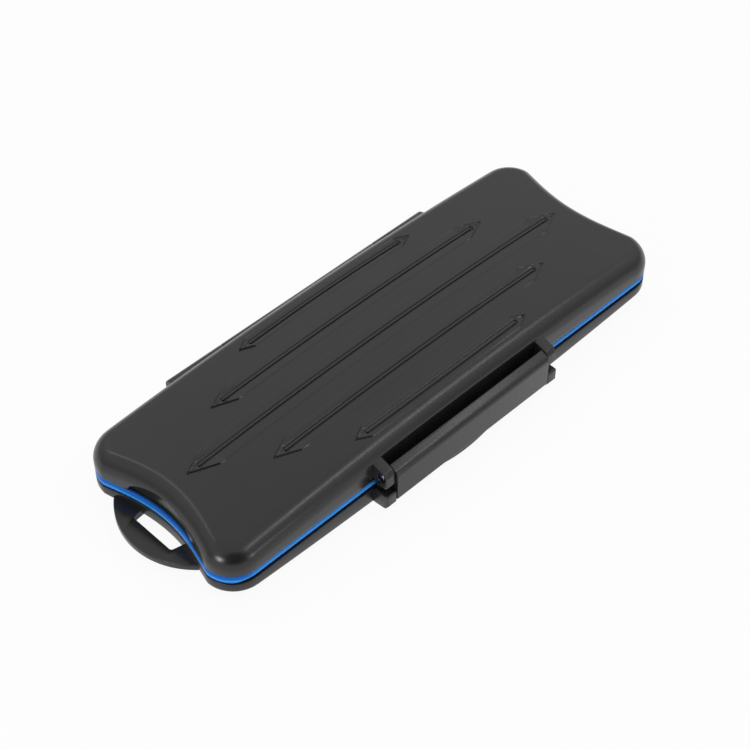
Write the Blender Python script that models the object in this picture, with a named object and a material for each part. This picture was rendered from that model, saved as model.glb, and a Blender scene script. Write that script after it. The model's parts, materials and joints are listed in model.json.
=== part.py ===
"""A slim hard case for game cards, closed.

The case lies on its underside. X runs along it with the lanyard loop at -X, the latch is on
the -Y side and the hinge on the +Y side, and Z is up. The origin is the middle of the flat
underside. All lengths are in metres.
"""

import math

import bmesh
import bpy
import numpy as np

# Plan outline that base, seal and lid share
LENGTH = 0.2000
WIDTH = 0.07174
CORNER_RADIUS = 0.0109
END_HOLLOW = 0.00475  # how far each end curves in at its middle
END_HOLLOW_POWER = 1.2

# Stack of the closed case, from the table up
BASE_RIM = 0.0086
SEAL_HEIGHT = 0.00385
LID_TOP = 0.0261
FIT = 0.0003  # gap between pieces that touch
OVERRUN = 0.0010  # how far a cutter runs past what it cuts

# Crowned faces: how far each one falls away towards the ends and towards the sides
TOP_FALL_LONG = 0.00405
TOP_FALL_ACROSS = 0.00196
BELLY_FALL_LONG = 0.00365
BELLY_FALL_ACROSS = 0.00116
BELLY_FLAT = 0.0006  # depth that the resting flat takes off the belly's crown
TOP_ROUND_WIDE = 0.0059
TOP_ROUND_HIGH = 0.00612
BELLY_ROUND_WIDE = 0.0030
BELLY_ROUND_HIGH = 0.0020

# Walls, and the lip on the base's rim that the seal goes round
WALL = 0.0020
LEDGE = 0.0024
LIP_THICKNESS = 0.0014
LIP_HEIGHT = 0.0040
FLOOR_ROUND = 0.0015

# Seal
SEAL_THICKNESS = 0.0020
SEAL_INSET = 0.00005
SEAL_BULGE = 0.00045

# Arrows raised on the lid: the middle one, then the inner pair and the outer pair
ARROW_TIP_SHARES = (0.853, 0.626, 0.395)  # of the half length
ARROW_OFFSET_SHARES = (0.0, 0.4101, 0.7714)  # of the half width
ARROW_HALF_WIDTHS = (0.0046, 0.0038, 0.0026)
ARROW_POINT_LENGTHS = (0.0100, 0.0087, 0.0052)
ARROW_BOWS = (None, None, 1.67)  # radius of the sideways curve of those that have one
ARROW_HEIGHT_END = 0.00045
ARROW_HEIGHT_MIDDLE = 0.00010
ARROW_STATIONS = 8
CHANNEL_WIDTH = 0.0023
CHANNEL_DEPTH = 0.0004
CHANNEL_START = 0.0043  # from the arrow's tip
SPINE_WIDTH = 0.0009
SPINE_END_GAP = 0.0008  # between the spine's end and the channel's
SPINE_TOP_SHARE = 0.6  # width at its top over width at its foot
LINE_END_SHARE = 1 / 3  # width of a spine or a channel at its ends over width along it

# Thumb scoop in the lid's end above the loop
SCOOP_WIDTH_SHARE = 0.6127  # of the end's straight span
SCOOP_HEIGHT = 0.0054
SCOOP_DEPTH = 0.0013
SCOOP_FOOT_SHARE = 1 / 6  # of its depth that it already has at the lid's rim
SCOOP_STATIONS = 12

# Latch: each OUT is a distance beyond the side wall
LATCH_PIN_OUT = 0.00323
LATCH_PIN_Z = 0.0162
LATCH_PIN_RADIUS = 0.00075
LATCH_PIN_LENGTH = 0.0098
EAR_GAP = 0.00075  # between an ear and the flap's end
EAR_THICKNESS = 0.0035
FLAP_HALF_LENGTH = 0.03535
FLAP_FACE_OUT = 0.00643
FLAP_BACK_OUT = 0.00423
FLAP_TOP_OUT = 0.00303
FLAP_TOP_Z = 0.0187
FLAP_SHOULDER_Z = 0.0171
FLAP_BOTTOM_Z = 0.0047
FLAP_BEND_RADIUS = 0.0024
FLAP_EDGE_RADIUS = 0.0007
FLAP_BOSS_RADIUS = 0.0024
HOOK_TIP_OUT = 0.00293
HOOK_TOP_Z = 0.0067
HOOK_ROOT_Z = 0.0073
LATCH_FLAT_DEPTH = 0.00067  # flat cut in the lid's side between the ears
LATCH_FLAT_TOP = 0.0222
LIP_TAB_MIDDLE = -0.0040
LIP_TAB_HALF_LENGTH = 0.0090
LIP_TAB_DROP = 0.0014
LIP_TAB_THICKNESS = 0.0011
LIP_TAB_ROUND = 0.0003
LUG_FACE_OUT = 0.00593
LUG_TOP_Z = 0.0091
LUG_CORNER_Z = 0.0046
LUG_TOE_Z = 0.0034
LUG_TOE_WIDTH = 0.0010
LUG_FOOT_Z = 0.0026
EAR_FACE_OUT = 0.00563
EAR_FACE_LEAN = 0.0002  # how far its face is back at the bend
EAR_FACE_LOW_Z = 0.0124
EAR_FACE_HIGH_Z = 0.0168
EAR_BEND_OUT = 0.00443
EAR_BEND_Z = 0.0185
EAR_ROOT_Z = 0.0203
EAR_TOE_OUT = 0.00053
EAR_TOE_Z = 0.0110
CATCH_TIP_OUT = 0.00263
CATCH_BELOW_Z = 0.0070
CATCH_TOP_Z = 0.0083
CATCH_END_GAP = 0.00085  # how much shorter the catch is than the flap, at each end
ROOT_DEPTH = 0.0009  # how far a moulded-on shape runs into the wall

# Hinge
HINGE_OUT = 0.00333  # beyond the side wall
HINGE_Z = 0.0120
BARREL_RADIUS = 0.0030
LID_BARREL_ARC = (160, 440)  # degrees of the barrel that stand clear of its web
BASE_BARREL_ARC = (-38, 200)
KNUCKLE_SPLIT = 0.03555
BARREL_HALF_LENGTH = 0.0594
HINGE_PIN_RADIUS = 0.0010
HINGE_PIN_LENGTH = 0.0360
HINGE_PIN_SUNK = 0.0006
HINGE_ROOT_TOP_Z = 0.0172
HINGE_FOOT_Z = 0.0036

# Lanyard loop on the base
LOOP_TOP_Z = 0.0062
LOOP_THICKNESS = 0.0025
LOOP_REACH = 0.0071  # beyond the case's end
LOOP_ROOT_SHARE = 0.801  # of the end's straight span
LOOP_ROOT_BACK = 0.0073  # how far its roots are back from its tip, along X
SLOT_REACH = 0.0001
SLOT_OUTER_LOW_Y = -0.0081
SLOT_OUTER_HIGH_Y = 0.0097
SLOT_INNER_LOW_Y = -0.0097
SLOT_INNER_HIGH_Y = 0.0102
SLOT_NEAR_CORNER_RADIUS = 0.0011
SLOT_FAR_CORNER_RADIUS = 0.0004
SLOT_DEPTH = 0.0075  # along X, so that it ends inside the wall
LOOP_EDGE_ROUND = 0.0004

# Trays and the ribs they rest on
TRAY_CLEARANCE = 0.0003
BASE_TRAY_FLOOR_Z = 0.0064
BASE_TRAY_TOP_Z = 0.0122
LID_TRAY_FLOOR_Z = 0.0134
LID_TRAY_TOP_Z = 0.0183
POCKET_DEPTH = 0.0037
POCKET_LENGTH = 0.0319
POCKET_WIDTH = 0.0219
POCKET_CORNER = 0.0012
POCKET_RIB = 0.0030
FINGER_RADIUS = 0.0065
FINGER_DEPTH = 0.0030
TRAY_EDGE_ROUND = 0.0005
RIB_THICKNESS = 0.0015
RIB_COUNT = 4
RIB_END_GAP = 0.0140  # between a rib's end and the case's end
RIB_STATIONS = 8

# How finely the curves are divided
CORNER_STEPS = 8
END_STEPS = 12
SIDE_STEPS = 10
ROUND_STEPS = 5
CROWN_SHARES = (0.2, 0.45, 0.72)
CIRCLE_STEPS = 20
BORE_STEPS = 14
FILLET_STEPS = 4
MERGE = 0.0000002
SHARP_ANGLE = math.radians(28)
BEAD_END_ANGLE = 80

# Sizes and places that follow from the ones above
HALF_LENGTH = LENGTH / 2
HALF_WIDTH = WIDTH / 2
END_SPAN = HALF_WIDTH - CORNER_RADIUS
LID_RIM = BASE_RIM + FIT + SEAL_HEIGHT + FIT
LIP_INSET = LEDGE + LIP_THICKNESS
TRAY_INSET = LIP_INSET + TRAY_CLEARANCE
LATCH_PIN_Y = -HALF_WIDTH - LATCH_PIN_OUT
LATCH_FLAT_Y = LATCH_FLAT_DEPTH - HALF_WIDTH
FLAP_FACE_Y = -HALF_WIDTH - FLAP_FACE_OUT
FLAP_BACK_Y = -HALF_WIDTH - FLAP_BACK_OUT
FLAP_TOP_Y = -HALF_WIDTH - FLAP_TOP_OUT
HOOK_TIP_Y = -HALF_WIDTH - HOOK_TIP_OUT
LUG_FACE_Y = -HALF_WIDTH - LUG_FACE_OUT
EAR_FACE_Y = -HALF_WIDTH - EAR_FACE_OUT
EAR_BEND_Y = -HALF_WIDTH - EAR_BEND_OUT
EAR_TOE_Y = -HALF_WIDTH - EAR_TOE_OUT
CATCH_TIP_Y = -HALF_WIDTH - CATCH_TIP_OUT
EAR_INNER = FLAP_HALF_LENGTH + EAR_GAP
EAR_OUTER = EAR_INNER + EAR_THICKNESS
CATCH_HALF_LENGTH = FLAP_HALF_LENGTH - CATCH_END_GAP
HINGE_Y = HALF_WIDTH + HINGE_OUT
SCOOP_HALF_WIDTH = SCOOP_WIDTH_SHARE * END_SPAN
LOOP_ROOT_Y = LOOP_ROOT_SHARE * END_SPAN
LOOP_TIP_X = -HALF_LENGTH - LOOP_REACH
LOOP_RADIUS = (LOOP_ROOT_Y**2 + LOOP_ROOT_BACK**2) / (2 * LOOP_ROOT_BACK)
SLOT_OUTER_X = -HALF_LENGTH - SLOT_REACH
RIB_HALF_LENGTH = HALF_LENGTH - RIB_END_GAP
RIB_SPACING = (WIDTH - 2 * TRAY_INSET) / RIB_COUNT
COLUMN_PITCH = POCKET_LENGTH + POCKET_RIB
ROW_PITCH = POCKET_WIDTH + POCKET_RIB
POCKET_COLUMNS = int((LENGTH - 2 * (TRAY_INSET + END_HOLLOW + POCKET_RIB)) / COLUMN_PITCH)
POCKET_ROWS = int((WIDTH - 2 * TRAY_INSET) / ROW_PITCH)


def clear_scene():
    for obj in list(bpy.data.objects):
        bpy.data.objects.remove(obj, do_unlink=True)


def plastic(name, color, roughness, metallic=0.0):
    """A plain Principled material."""
    material = bpy.data.materials.new(name)
    material.use_nodes = True
    shader = material.node_tree.nodes["Principled BSDF"]
    shader.inputs["Base Color"].default_value = (*color, 1.0)
    shader.inputs["Roughness"].default_value = roughness
    shader.inputs["Metallic"].default_value = metallic
    material.diffuse_color = (*color, 1.0)
    return material


def loft(name, rings, capped):
    """A mesh object through rings of equal point counts, with an end face on each end if capped."""
    mesh = bmesh.new()
    rows = [[mesh.verts.new(point) for point in ring] for ring in rings]
    for low, high in zip(rows, rows[1:]):
        for i in range(len(low)):
            j = (i + 1) % len(low)
            mesh.faces.new((low[i], low[j], high[j], high[i]))
    if capped:
        mesh.faces.new(list(reversed(rows[0])))
        mesh.faces.new(rows[-1])
    bmesh.ops.remove_doubles(mesh, verts=mesh.verts, dist=MERGE)
    bmesh.ops.triangulate(mesh, faces=[face for face in mesh.faces if len(face.verts) == 4])
    bmesh.ops.recalc_face_normals(mesh, faces=mesh.faces)
    if mesh.calc_volume(signed=True) < 0:
        bmesh.ops.reverse_faces(mesh, faces=mesh.faces)
    data = bpy.data.meshes.new(name)
    mesh.to_mesh(data)
    mesh.free()
    obj = bpy.data.objects.new(name, data)
    bpy.context.scene.collection.objects.link(obj)
    return obj


def merge_objects(name, pieces):
    """One object that holds the meshes of all the pieces, which don't touch."""
    mesh = bmesh.new()
    for piece in pieces:
        mesh.from_mesh(piece.data)
        bpy.data.objects.remove(piece, do_unlink=True)
    data = bpy.data.meshes.new(name)
    mesh.to_mesh(data)
    mesh.free()
    obj = bpy.data.objects.new(name, data)
    bpy.context.scene.collection.objects.link(obj)
    return obj


def boolean(target, tool, operation):
    """Cuts the tool from the target, or fuses it on, and keeps the tool as a hidden helper."""
    step = target.modifiers.new(tool.name, "BOOLEAN")
    step.operation = operation
    step.object = tool
    step.solver = "EXACT"
    tool.hide_render = True
    tool.display_type = "WIRE"


def finish(obj, material):
    obj.data.materials.append(material)
    obj.data.shade_smooth()
    obj.data.set_sharp_from_angle(angle=SHARP_ANGLE)


def round_edges(obj, width, segments=1):
    """Rounds every crisp edge of the object."""
    bevel = obj.modifiers.new("edges", "BEVEL")
    bevel.width = width
    bevel.segments = segments
    bevel.limit_method = "ANGLE"
    bevel.angle_limit = SHARP_ANGLE


def arc(center_x, center_y, radius, start, end, steps):
    """Points on an arc, in degrees, ends included."""
    angles = np.radians(np.linspace(start, end, steps + 1))
    return np.stack([center_x + radius * np.cos(angles), center_y + radius * np.sin(angles)], 1)


def rounded(points, radii):
    """The polygon with each corner replaced by an arc of its own radius, zero for a crisp one."""
    corners = np.array(points, float)
    result = []
    for i, radius in enumerate(radii):
        corner = corners[i]
        back = corners[i - 1] - corner
        ahead = corners[(i + 1) % len(corners)] - corner
        back /= np.linalg.norm(back)
        ahead /= np.linalg.norm(ahead)
        if not radius:
            result.append(corner)
            continue
        half = math.acos(float(np.clip(back @ ahead, -1, 1))) / 2
        middle = back + ahead
        center = corner + middle / np.linalg.norm(middle) * radius / math.sin(half)
        start = corner + back * radius / math.tan(half) - center
        end = corner + ahead * radius / math.tan(half) - center
        turn = math.atan2(start[0] * end[1] - start[1] * end[0], start @ end)
        for step in range(FILLET_STEPS + 1):
            angle = turn * step / FILLET_STEPS
            across = np.array([-start[1], start[0]])
            result.append(center + start * math.cos(angle) + across * math.sin(angle))
    return np.array(result)


def plan(inset):
    """The case's outline in plan, drawn in by the inset, anticlockwise from the middle of +X."""
    side = HALF_WIDTH - inset
    end = HALF_LENGTH - inset
    radius = CORNER_RADIUS - inset
    center_x = HALF_LENGTH - CORNER_RADIUS
    across = np.linspace(-1, 1, END_STEPS + 1)[1:-1]
    hollow = END_HOLLOW * (1 - across**2) ** END_HOLLOW_POWER
    right = np.stack([end - hollow, across * END_SPAN], 1)
    along = np.linspace(center_x, -center_x, SIDE_STEPS + 1)[1:-1]
    top = np.stack([along, np.full_like(along, side)], 1)
    parts = [
        right,
        arc(center_x, END_SPAN, radius, 0, 90, CORNER_STEPS),
        top,
        arc(-center_x, END_SPAN, radius, 90, 180, CORNER_STEPS),
        -right,
        arc(-center_x, -END_SPAN, radius, 180, 270, CORNER_STEPS),
        -top,
        arc(center_x, -END_SPAN, radius, 270, 360, CORNER_STEPS),
    ]
    return np.concatenate(parts)


def drawn_in(outline, share):
    """The outline moved by a share of the way to the middle line, which it reaches at share 1."""
    reach = HALF_LENGTH - HALF_WIDTH
    center = np.stack([np.clip(outline[:, 0], -reach, reach), np.zeros(len(outline))], 1)
    return outline + (center - outline) * share


def top_crown(x, y):
    fall = TOP_FALL_LONG * (x / HALF_LENGTH) ** 2 + TOP_FALL_ACROSS * (y / HALF_WIDTH) ** 2
    return LID_TOP - fall


def belly_crown(x, y):
    fall = BELLY_FALL_LONG * (x / HALF_LENGTH) ** 2 + BELLY_FALL_ACROSS * (y / HALF_WIDTH) ** 2
    return np.maximum(fall - BELLY_FLAT, 0)


def ring(outline, height):
    """Points of a ring at a height, which is a number or one number for each point."""
    return np.column_stack([outline, np.broadcast_to(height, len(outline))])


def crown_rings(inset, crown, offset):
    """Rings from the inset outline to the middle line, on a crowned face."""
    outline = plan(inset)
    rings = []
    for share in (0, *CROWN_SHARES, 1):
        points = drawn_in(outline, share)
        rings.append(ring(points, crown(points[:, 0], points[:, 1]) + offset))
    return rings


def edge_rings(inset, crown, offset, wide, high, steps):
    """Rings down a rounded edge below a crowned face, or up one above it where high is negative."""
    rings = []
    for step in range(1, steps + 1):
        angle = math.pi / 2 * (1 - step / steps)
        points = plan(inset + wide * (1 - math.cos(angle)))
        drop = high * (1 - math.sin(angle))
        rings.append(ring(points, crown(points[:, 0], points[:, 1]) + offset - drop))
    return rings


def extrude_along_x(name, profile, start, end):
    """A solid of constant profile, whose points are (y, z)."""
    rings = [np.column_stack([np.full(len(profile), x), profile]) for x in (start, end)]
    return loft(name, rings, capped=True)


def cylinder_along_x(name, y, z, radius, start, end, steps):
    profile = arc(y, z, radius, 0, 360, steps)[:-1]
    return extrude_along_x(name, profile, start, end)


def mirrored_pair(name, make, inner, outer):
    """The shape that make builds between two distances from the middle, on both sides of it."""
    sides = [make(f"{name}_{side}", *sorted((sign * inner, sign * outer)))
             for side, sign in (("left", -1), ("right", 1))]
    return merge_objects(name, sides)


def rib_set(name, crown, offset, end_z):
    """Lengthwise ribs from inside a crowned wall to a level where the tray rests."""
    ribs = []
    for number in range(RIB_COUNT):
        y = (number - (RIB_COUNT - 1) / 2) * RIB_SPACING
        left, right = y - RIB_THICKNESS / 2, y + RIB_THICKNESS / 2
        rings = []
        for x in np.linspace(-RIB_HALF_LENGTH, RIB_HALF_LENGTH, RIB_STATIONS + 1):
            root = float(crown(x, y)) + offset
            rings.append([(x, left, end_z), (x, right, end_z), (x, right, root), (x, left, root)])
        ribs.append(loft(f"{name}_{number}", rings, capped=True))
    return merge_objects(name, ribs)


def arrow_stations(tip, point_length):
    """Places along an arrow from tip to tip, with the ends of its points among them."""
    barb = tip - point_length
    middle = np.linspace(-barb, barb, ARROW_STATIONS + 1)
    return np.concatenate([[-tip], middle, [tip]])


def arrow_middle(x, offset, bow):
    """Distance of an arrow's spine from the lid's middle line, which a bowed one curves towards."""
    if bow is None:
        return offset
    return offset - math.copysign(x**2 / (2 * bow), offset)


def arrow_plate(name, tip, offset, half_width, point_length, bow):
    """An elongated double-headed arrow whose face stands above the crown, highest at its points."""
    barb = tip - point_length
    rings = []
    for x in arrow_stations(tip, point_length):
        near_tip = abs(x) / tip
        height = ARROW_HEIGHT_MIDDLE + (ARROW_HEIGHT_END - ARROW_HEIGHT_MIDDLE) * near_tip**2
        half = half_width * min(1, (tip - abs(x)) / (tip - barb)) + MERGE
        y = arrow_middle(x, offset, bow)
        left, right = y - half, y + half
        left_z, right_z = float(top_crown(x, left)), float(top_crown(x, right))
        rings.append([(x, left, left_z - WALL / 2), (x, right, right_z - WALL / 2),
                      (x, right, right_z + height), (x, left, left_z + height)])
    return loft(name, rings, capped=True)


def arrow_line(name, tip, offset, bow, start, foot_width, top_width, low, high):
    """A bar along the middle of an arrow with tapered ends, between two levels off the crown."""
    reach = tip - start
    full = np.linspace(foot_width - reach, reach - foot_width, ARROW_STATIONS + 1)
    rings = []
    for x in [-reach, *full, reach]:
        share = 1 / 2 if abs(x) < reach else LINE_END_SHARE / 2
        foot, top = foot_width * share, top_width * share
        y = arrow_middle(x, offset, bow)
        crown = float(top_crown(x, y))
        rings.append([(x, y - foot, crown + low), (x, y + foot, crown + low),
                      (x, y + top, crown + high), (x, y - top, crown + high)])
    return loft(name, rings, capped=True)


def arrows():
    """Tip, offset, half width, point length and bow of each of the five arrows."""
    places = zip(ARROW_TIP_SHARES, ARROW_OFFSET_SHARES)
    shapes = zip(ARROW_HALF_WIDTHS, ARROW_POINT_LENGTHS, ARROW_BOWS)
    for (tip_share, offset_share), shape in zip(places, shapes):
        for side in (1, -1) if offset_share else (1,):
            yield tip_share * HALF_LENGTH, side * offset_share * HALF_WIDTH, *shape


def thumb_scoop():
    """A shallow arched scoop in the -X end: its wall leans in as it rises to an overhanging lip."""
    rings = []
    for across in np.linspace(-1, 1, SCOOP_STATIONS + 1):
        y = across * SCOOP_HALF_WIDTH
        arch = math.sqrt(1 - across**2)
        end = HALF_LENGTH - END_HOLLOW * (1 - (y / END_SPAN) ** 2) ** END_HOLLOW_POWER
        foot = LID_RIM - OVERRUN
        head = LID_RIM + SCOOP_HEIGHT * arch
        outside = -end - OVERRUN
        wall_low = -end + SCOOP_DEPTH * SCOOP_FOOT_SHARE
        wall_high = wall_low + SCOOP_DEPTH * arch
        rings.append([(outside, y, foot), (wall_low, y, foot), (wall_low, y, LID_RIM),
                      (wall_high, y, head + MERGE), (outside, y, head + MERGE)])
    return loft("thumb_scoop", rings, capped=True)


def latch_ear(name, start, end):
    profile = rounded(
        [
            (LATCH_FLAT_Y + ROOT_DEPTH, EAR_ROOT_Z),
            (EAR_BEND_Y, EAR_BEND_Z),
            (EAR_FACE_Y + EAR_FACE_LEAN, EAR_FACE_HIGH_Z),
            (EAR_FACE_Y, EAR_FACE_LOW_Z),
            (EAR_TOE_Y, EAR_TOE_Z),
            (EAR_TOE_Y, LID_RIM + FIT),
            (LATCH_FLAT_Y + ROOT_DEPTH, LID_RIM + FIT),
        ],
        (0, FLAP_EDGE_RADIUS, FLAP_EDGE_RADIUS, FLAP_EDGE_RADIUS, 0, 0, 0),
    )
    return extrude_along_x(name, profile, start, end)


def lid_knuckle(name, start, end):
    """A hinge barrel with the web that carries it on the lid's wall."""
    root = HALF_WIDTH - ROOT_DEPTH
    around = arc(HINGE_Y, HINGE_Z, BARREL_RADIUS, *LID_BARREL_ARC, CIRCLE_STEPS)
    profile = np.concatenate([[(root, HINGE_ROOT_TOP_Z), (root, LID_RIM + FIT)], around])
    return extrude_along_x(name, profile, start, end)


def base_knuckle(name):
    """The middle hinge barrel with the web that carries it on the base's wall."""
    root = HALF_WIDTH - ROOT_DEPTH
    around = arc(HINGE_Y, HINGE_Z, BARREL_RADIUS, *BASE_BARREL_ARC, CIRCLE_STEPS)
    notch = [(HALF_WIDTH + FIT, BASE_RIM - FIT)]
    profile = np.concatenate([[(root, BASE_RIM - FIT), (root, HINGE_FOOT_Z)], around, notch])
    return extrude_along_x(name, profile, -KNUCKLE_SPLIT + FIT / 2, KNUCKLE_SPLIT - FIT / 2)


def hinge_bore(name, start, end):
    radius = HINGE_PIN_RADIUS + FIT
    return cylinder_along_x(name, HINGE_Y, HINGE_Z, radius, start, end, BORE_STEPS)


def latch_bore(name, start, end):
    radius = LATCH_PIN_RADIUS + FIT
    return cylinder_along_x(name, LATCH_PIN_Y, LATCH_PIN_Z, radius, start, end, BORE_STEPS)


def make_lid(material):
    outer = crown_rings(TOP_ROUND_WIDE, top_crown, 0)[::-1]
    outer += edge_rings(0, top_crown, 0, TOP_ROUND_WIDE, TOP_ROUND_HIGH, ROUND_STEPS)
    inner = crown_rings(TOP_ROUND_WIDE, top_crown, -WALL)[::-1]
    inner_wide, inner_high = TOP_ROUND_WIDE - WALL, TOP_ROUND_HIGH - WALL
    inner += edge_rings(WALL, top_crown, -WALL, inner_wide, inner_high, ROUND_STEPS)
    rims = [ring(plan(0), LID_RIM), ring(plan(WALL), LID_RIM)]
    lid = loft("lid_shell", outer + rims + inner[::-1], capped=False)
    flat = extrude_along_x(
        "latch_flat",
        np.array([
            (LATCH_FLAT_Y, LID_RIM - OVERRUN),
            (LATCH_FLAT_Y, LATCH_FLAT_TOP),
            (EAR_FACE_Y, LATCH_FLAT_TOP),
            (EAR_FACE_Y, LID_RIM - OVERRUN),
        ]),
        -EAR_INNER - ROOT_DEPTH / 2,
        EAR_INNER + ROOT_DEPTH / 2,
    )
    boolean(lid, flat, "DIFFERENCE")
    boolean(lid, thumb_scoop(), "DIFFERENCE")
    plates = [arrow_plate(f"arrow_{i}", *sizes) for i, sizes in enumerate(arrows())]
    boolean(lid, merge_objects("arrow_plates", plates), "UNION")
    channels = [
        arrow_line(f"channel_{i}", tip, offset, bow, CHANNEL_START, CHANNEL_WIDTH, CHANNEL_WIDTH,
                   -CHANNEL_DEPTH, ARROW_HEIGHT_END + OVERRUN)
        for i, (tip, offset, _, _, bow) in enumerate(arrows())
    ]
    boolean(lid, merge_objects("arrow_channels", channels), "DIFFERENCE")
    spines = [
        arrow_line(f"spine_{i}", tip, offset, bow, CHANNEL_START + SPINE_END_GAP, SPINE_WIDTH,
                   SPINE_WIDTH * SPINE_TOP_SHARE, -WALL / 2, ARROW_HEIGHT_MIDDLE)
        for i, (tip, offset, _, _, bow) in enumerate(arrows())
    ]
    boolean(lid, merge_objects("arrow_spines", spines), "UNION")
    boolean(lid, rib_set("lid_ribs", top_crown, -WALL / 2, LID_TRAY_TOP_Z + FIT), "UNION")
    ears = mirrored_pair("latch_ears", latch_ear, EAR_INNER, EAR_OUTER)
    round_edges(ears, LOOP_EDGE_ROUND)
    boolean(lid, ears, "UNION")
    inner_end = KNUCKLE_SPLIT + FIT / 2
    knuckles = mirrored_pair("lid_knuckles", lid_knuckle, inner_end, BARREL_HALF_LENGTH)
    round_edges(knuckles, LOOP_EDGE_ROUND)
    boolean(lid, knuckles, "UNION")
    bores = mirrored_pair("ear_bores", latch_bore, EAR_INNER - OVERRUN / 2, EAR_OUTER + OVERRUN)
    boolean(lid, bores, "DIFFERENCE")
    open_end = BARREL_HALF_LENGTH + OVERRUN
    bores = mirrored_pair("lid_hinge_bores", hinge_bore, KNUCKLE_SPLIT - OVERRUN, open_end)
    boolean(lid, bores, "DIFFERENCE")
    finish(lid, material)
    return lid


def end_wall_line(inset, low_y, high_y, steps):
    """Points down the -X end's curve, from the high y to the low one."""
    y = np.linspace(high_y, low_y, steps + 1)
    hollow = END_HOLLOW * (1 - (y / END_SPAN) ** 2) ** END_HOLLOW_POWER
    return np.stack([-(HALF_LENGTH - inset - hollow), y], 1)


def lanyard_loop():
    """A flat tab round a strap slot: an arc outside, and the end wall of the base inside."""
    center_x = LOOP_TIP_X + LOOP_RADIUS
    half_angle = math.degrees(math.asin(LOOP_ROOT_Y / LOOP_RADIUS))
    outside = arc(center_x, 0, LOOP_RADIUS, 180 + half_angle, 180 - half_angle, CIRCLE_STEPS)
    slot = rounded(
        [
            (SLOT_OUTER_X + SLOT_DEPTH, SLOT_INNER_HIGH_Y),
            (SLOT_OUTER_X, SLOT_OUTER_HIGH_Y),
            (SLOT_OUTER_X, SLOT_OUTER_LOW_Y),
            (SLOT_OUTER_X + SLOT_DEPTH, SLOT_INNER_LOW_Y),
        ],
        (0, SLOT_FAR_CORNER_RADIUS, SLOT_NEAR_CORNER_RADIUS, 0),
    )[1:-1]
    inset = WALL - ROOT_DEPTH
    above = end_wall_line(inset, SLOT_INNER_HIGH_Y, LOOP_ROOT_Y, FILLET_STEPS)
    below = end_wall_line(inset, -LOOP_ROOT_Y, SLOT_INNER_LOW_Y, FILLET_STEPS)
    outline = np.concatenate([outside, above, slot, below])
    rings = [ring(outline, LOOP_TOP_Z - LOOP_THICKNESS), ring(outline, LOOP_TOP_Z)]
    loop = loft("lanyard_loop", rings, capped=True)
    round_edges(loop, LOOP_EDGE_ROUND, segments=2)
    return loop


def latch_lug(name, start, end):
    profile = rounded(
        [
            (-HALF_WIDTH + ROOT_DEPTH, BASE_RIM - FIT),
            (EAR_TOE_Y, BASE_RIM - FIT),
            (EAR_TOE_Y, LUG_TOP_Z),
            (LUG_FACE_Y, LUG_TOP_Z),
            (LUG_FACE_Y, LUG_CORNER_Z),
            (LUG_FACE_Y + LUG_TOE_WIDTH, LUG_TOE_Z),
            (-HALF_WIDTH + ROOT_DEPTH, LUG_FOOT_Z),
        ],
        (0, 0, 0, FLAP_EDGE_RADIUS, FLAP_EDGE_RADIUS, FLAP_EDGE_RADIUS, 0),
    )
    return extrude_along_x(name, profile, start, end)


def catch_ridge():
    """The ridge on the base's wall that the latch flap's hook snaps under."""
    profile = np.array([
        (-HALF_WIDTH + ROOT_DEPTH, CATCH_TOP_Z),
        (CATCH_TIP_Y + ROOT_DEPTH, CATCH_TOP_Z),
        (CATCH_TIP_Y, CATCH_BELOW_Z + FIT),
        (CATCH_TIP_Y, CATCH_BELOW_Z),
        (-HALF_WIDTH + ROOT_DEPTH, CATCH_BELOW_Z),
    ])
    return extrude_along_x("catch_ridge", profile, -CATCH_HALF_LENGTH, CATCH_HALF_LENGTH)


def make_base(material):
    outer = crown_rings(BELLY_ROUND_WIDE, belly_crown, 0)[::-1]
    outer += edge_rings(0, belly_crown, 0, BELLY_ROUND_WIDE, -BELLY_ROUND_HIGH, ROUND_STEPS - 1)
    rims = [
        ring(plan(0), BASE_RIM),
        ring(plan(LEDGE), BASE_RIM),
        ring(plan(LEDGE), BASE_RIM + LIP_HEIGHT),
        ring(plan(LIP_INSET), BASE_RIM + LIP_HEIGHT),
    ]
    inner = edge_rings(LIP_INSET, belly_crown, WALL, FLOOR_ROUND, -FLOOR_ROUND, 2)[::-1]
    inner += crown_rings(LIP_INSET + FLOOR_ROUND, belly_crown, WALL)
    base = loft("base_shell", outer + rims + inner, capped=False)
    boolean(base, rib_set("base_ribs", belly_crown, WALL / 2, BASE_TRAY_FLOOR_Z - FIT), "UNION")
    boolean(base, lanyard_loop(), "UNION")
    lugs = mirrored_pair("latch_lugs", latch_lug, EAR_INNER, EAR_OUTER)
    round_edges(lugs, LOOP_EDGE_ROUND)
    boolean(base, lugs, "UNION")
    boolean(base, catch_ridge(), "UNION")
    boolean(base, base_knuckle("middle_knuckle"), "UNION")
    inner_end = BARREL_HALF_LENGTH - HINGE_PIN_SUNK - HINGE_PIN_LENGTH - FIT
    bores = mirrored_pair("base_hinge_bores", hinge_bore, inner_end, KNUCKLE_SPLIT + OVERRUN)
    boolean(base, bores, "DIFFERENCE")
    finish(base, material)
    return base


def make_seal(material):
    """A rubber ring with a bulging outer face, which stands on the base's ledge."""
    low = BASE_RIM + FIT
    inner = SEAL_INSET + SEAL_THICKNESS
    heights = np.linspace(0, 1, FILLET_STEPS + 1)  # shares of the seal's height
    face = [
        ring(plan(SEAL_INSET + SEAL_BULGE * (2 * share - 1) ** 4), low + SEAL_HEIGHT * share)
        for share in heights
    ]
    back = [ring(plan(inner), low + SEAL_HEIGHT), ring(plan(inner), low)]
    seal = loft("seal_ring", face + back + face[:1], capped=False)
    finish(seal, material)
    return seal


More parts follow.
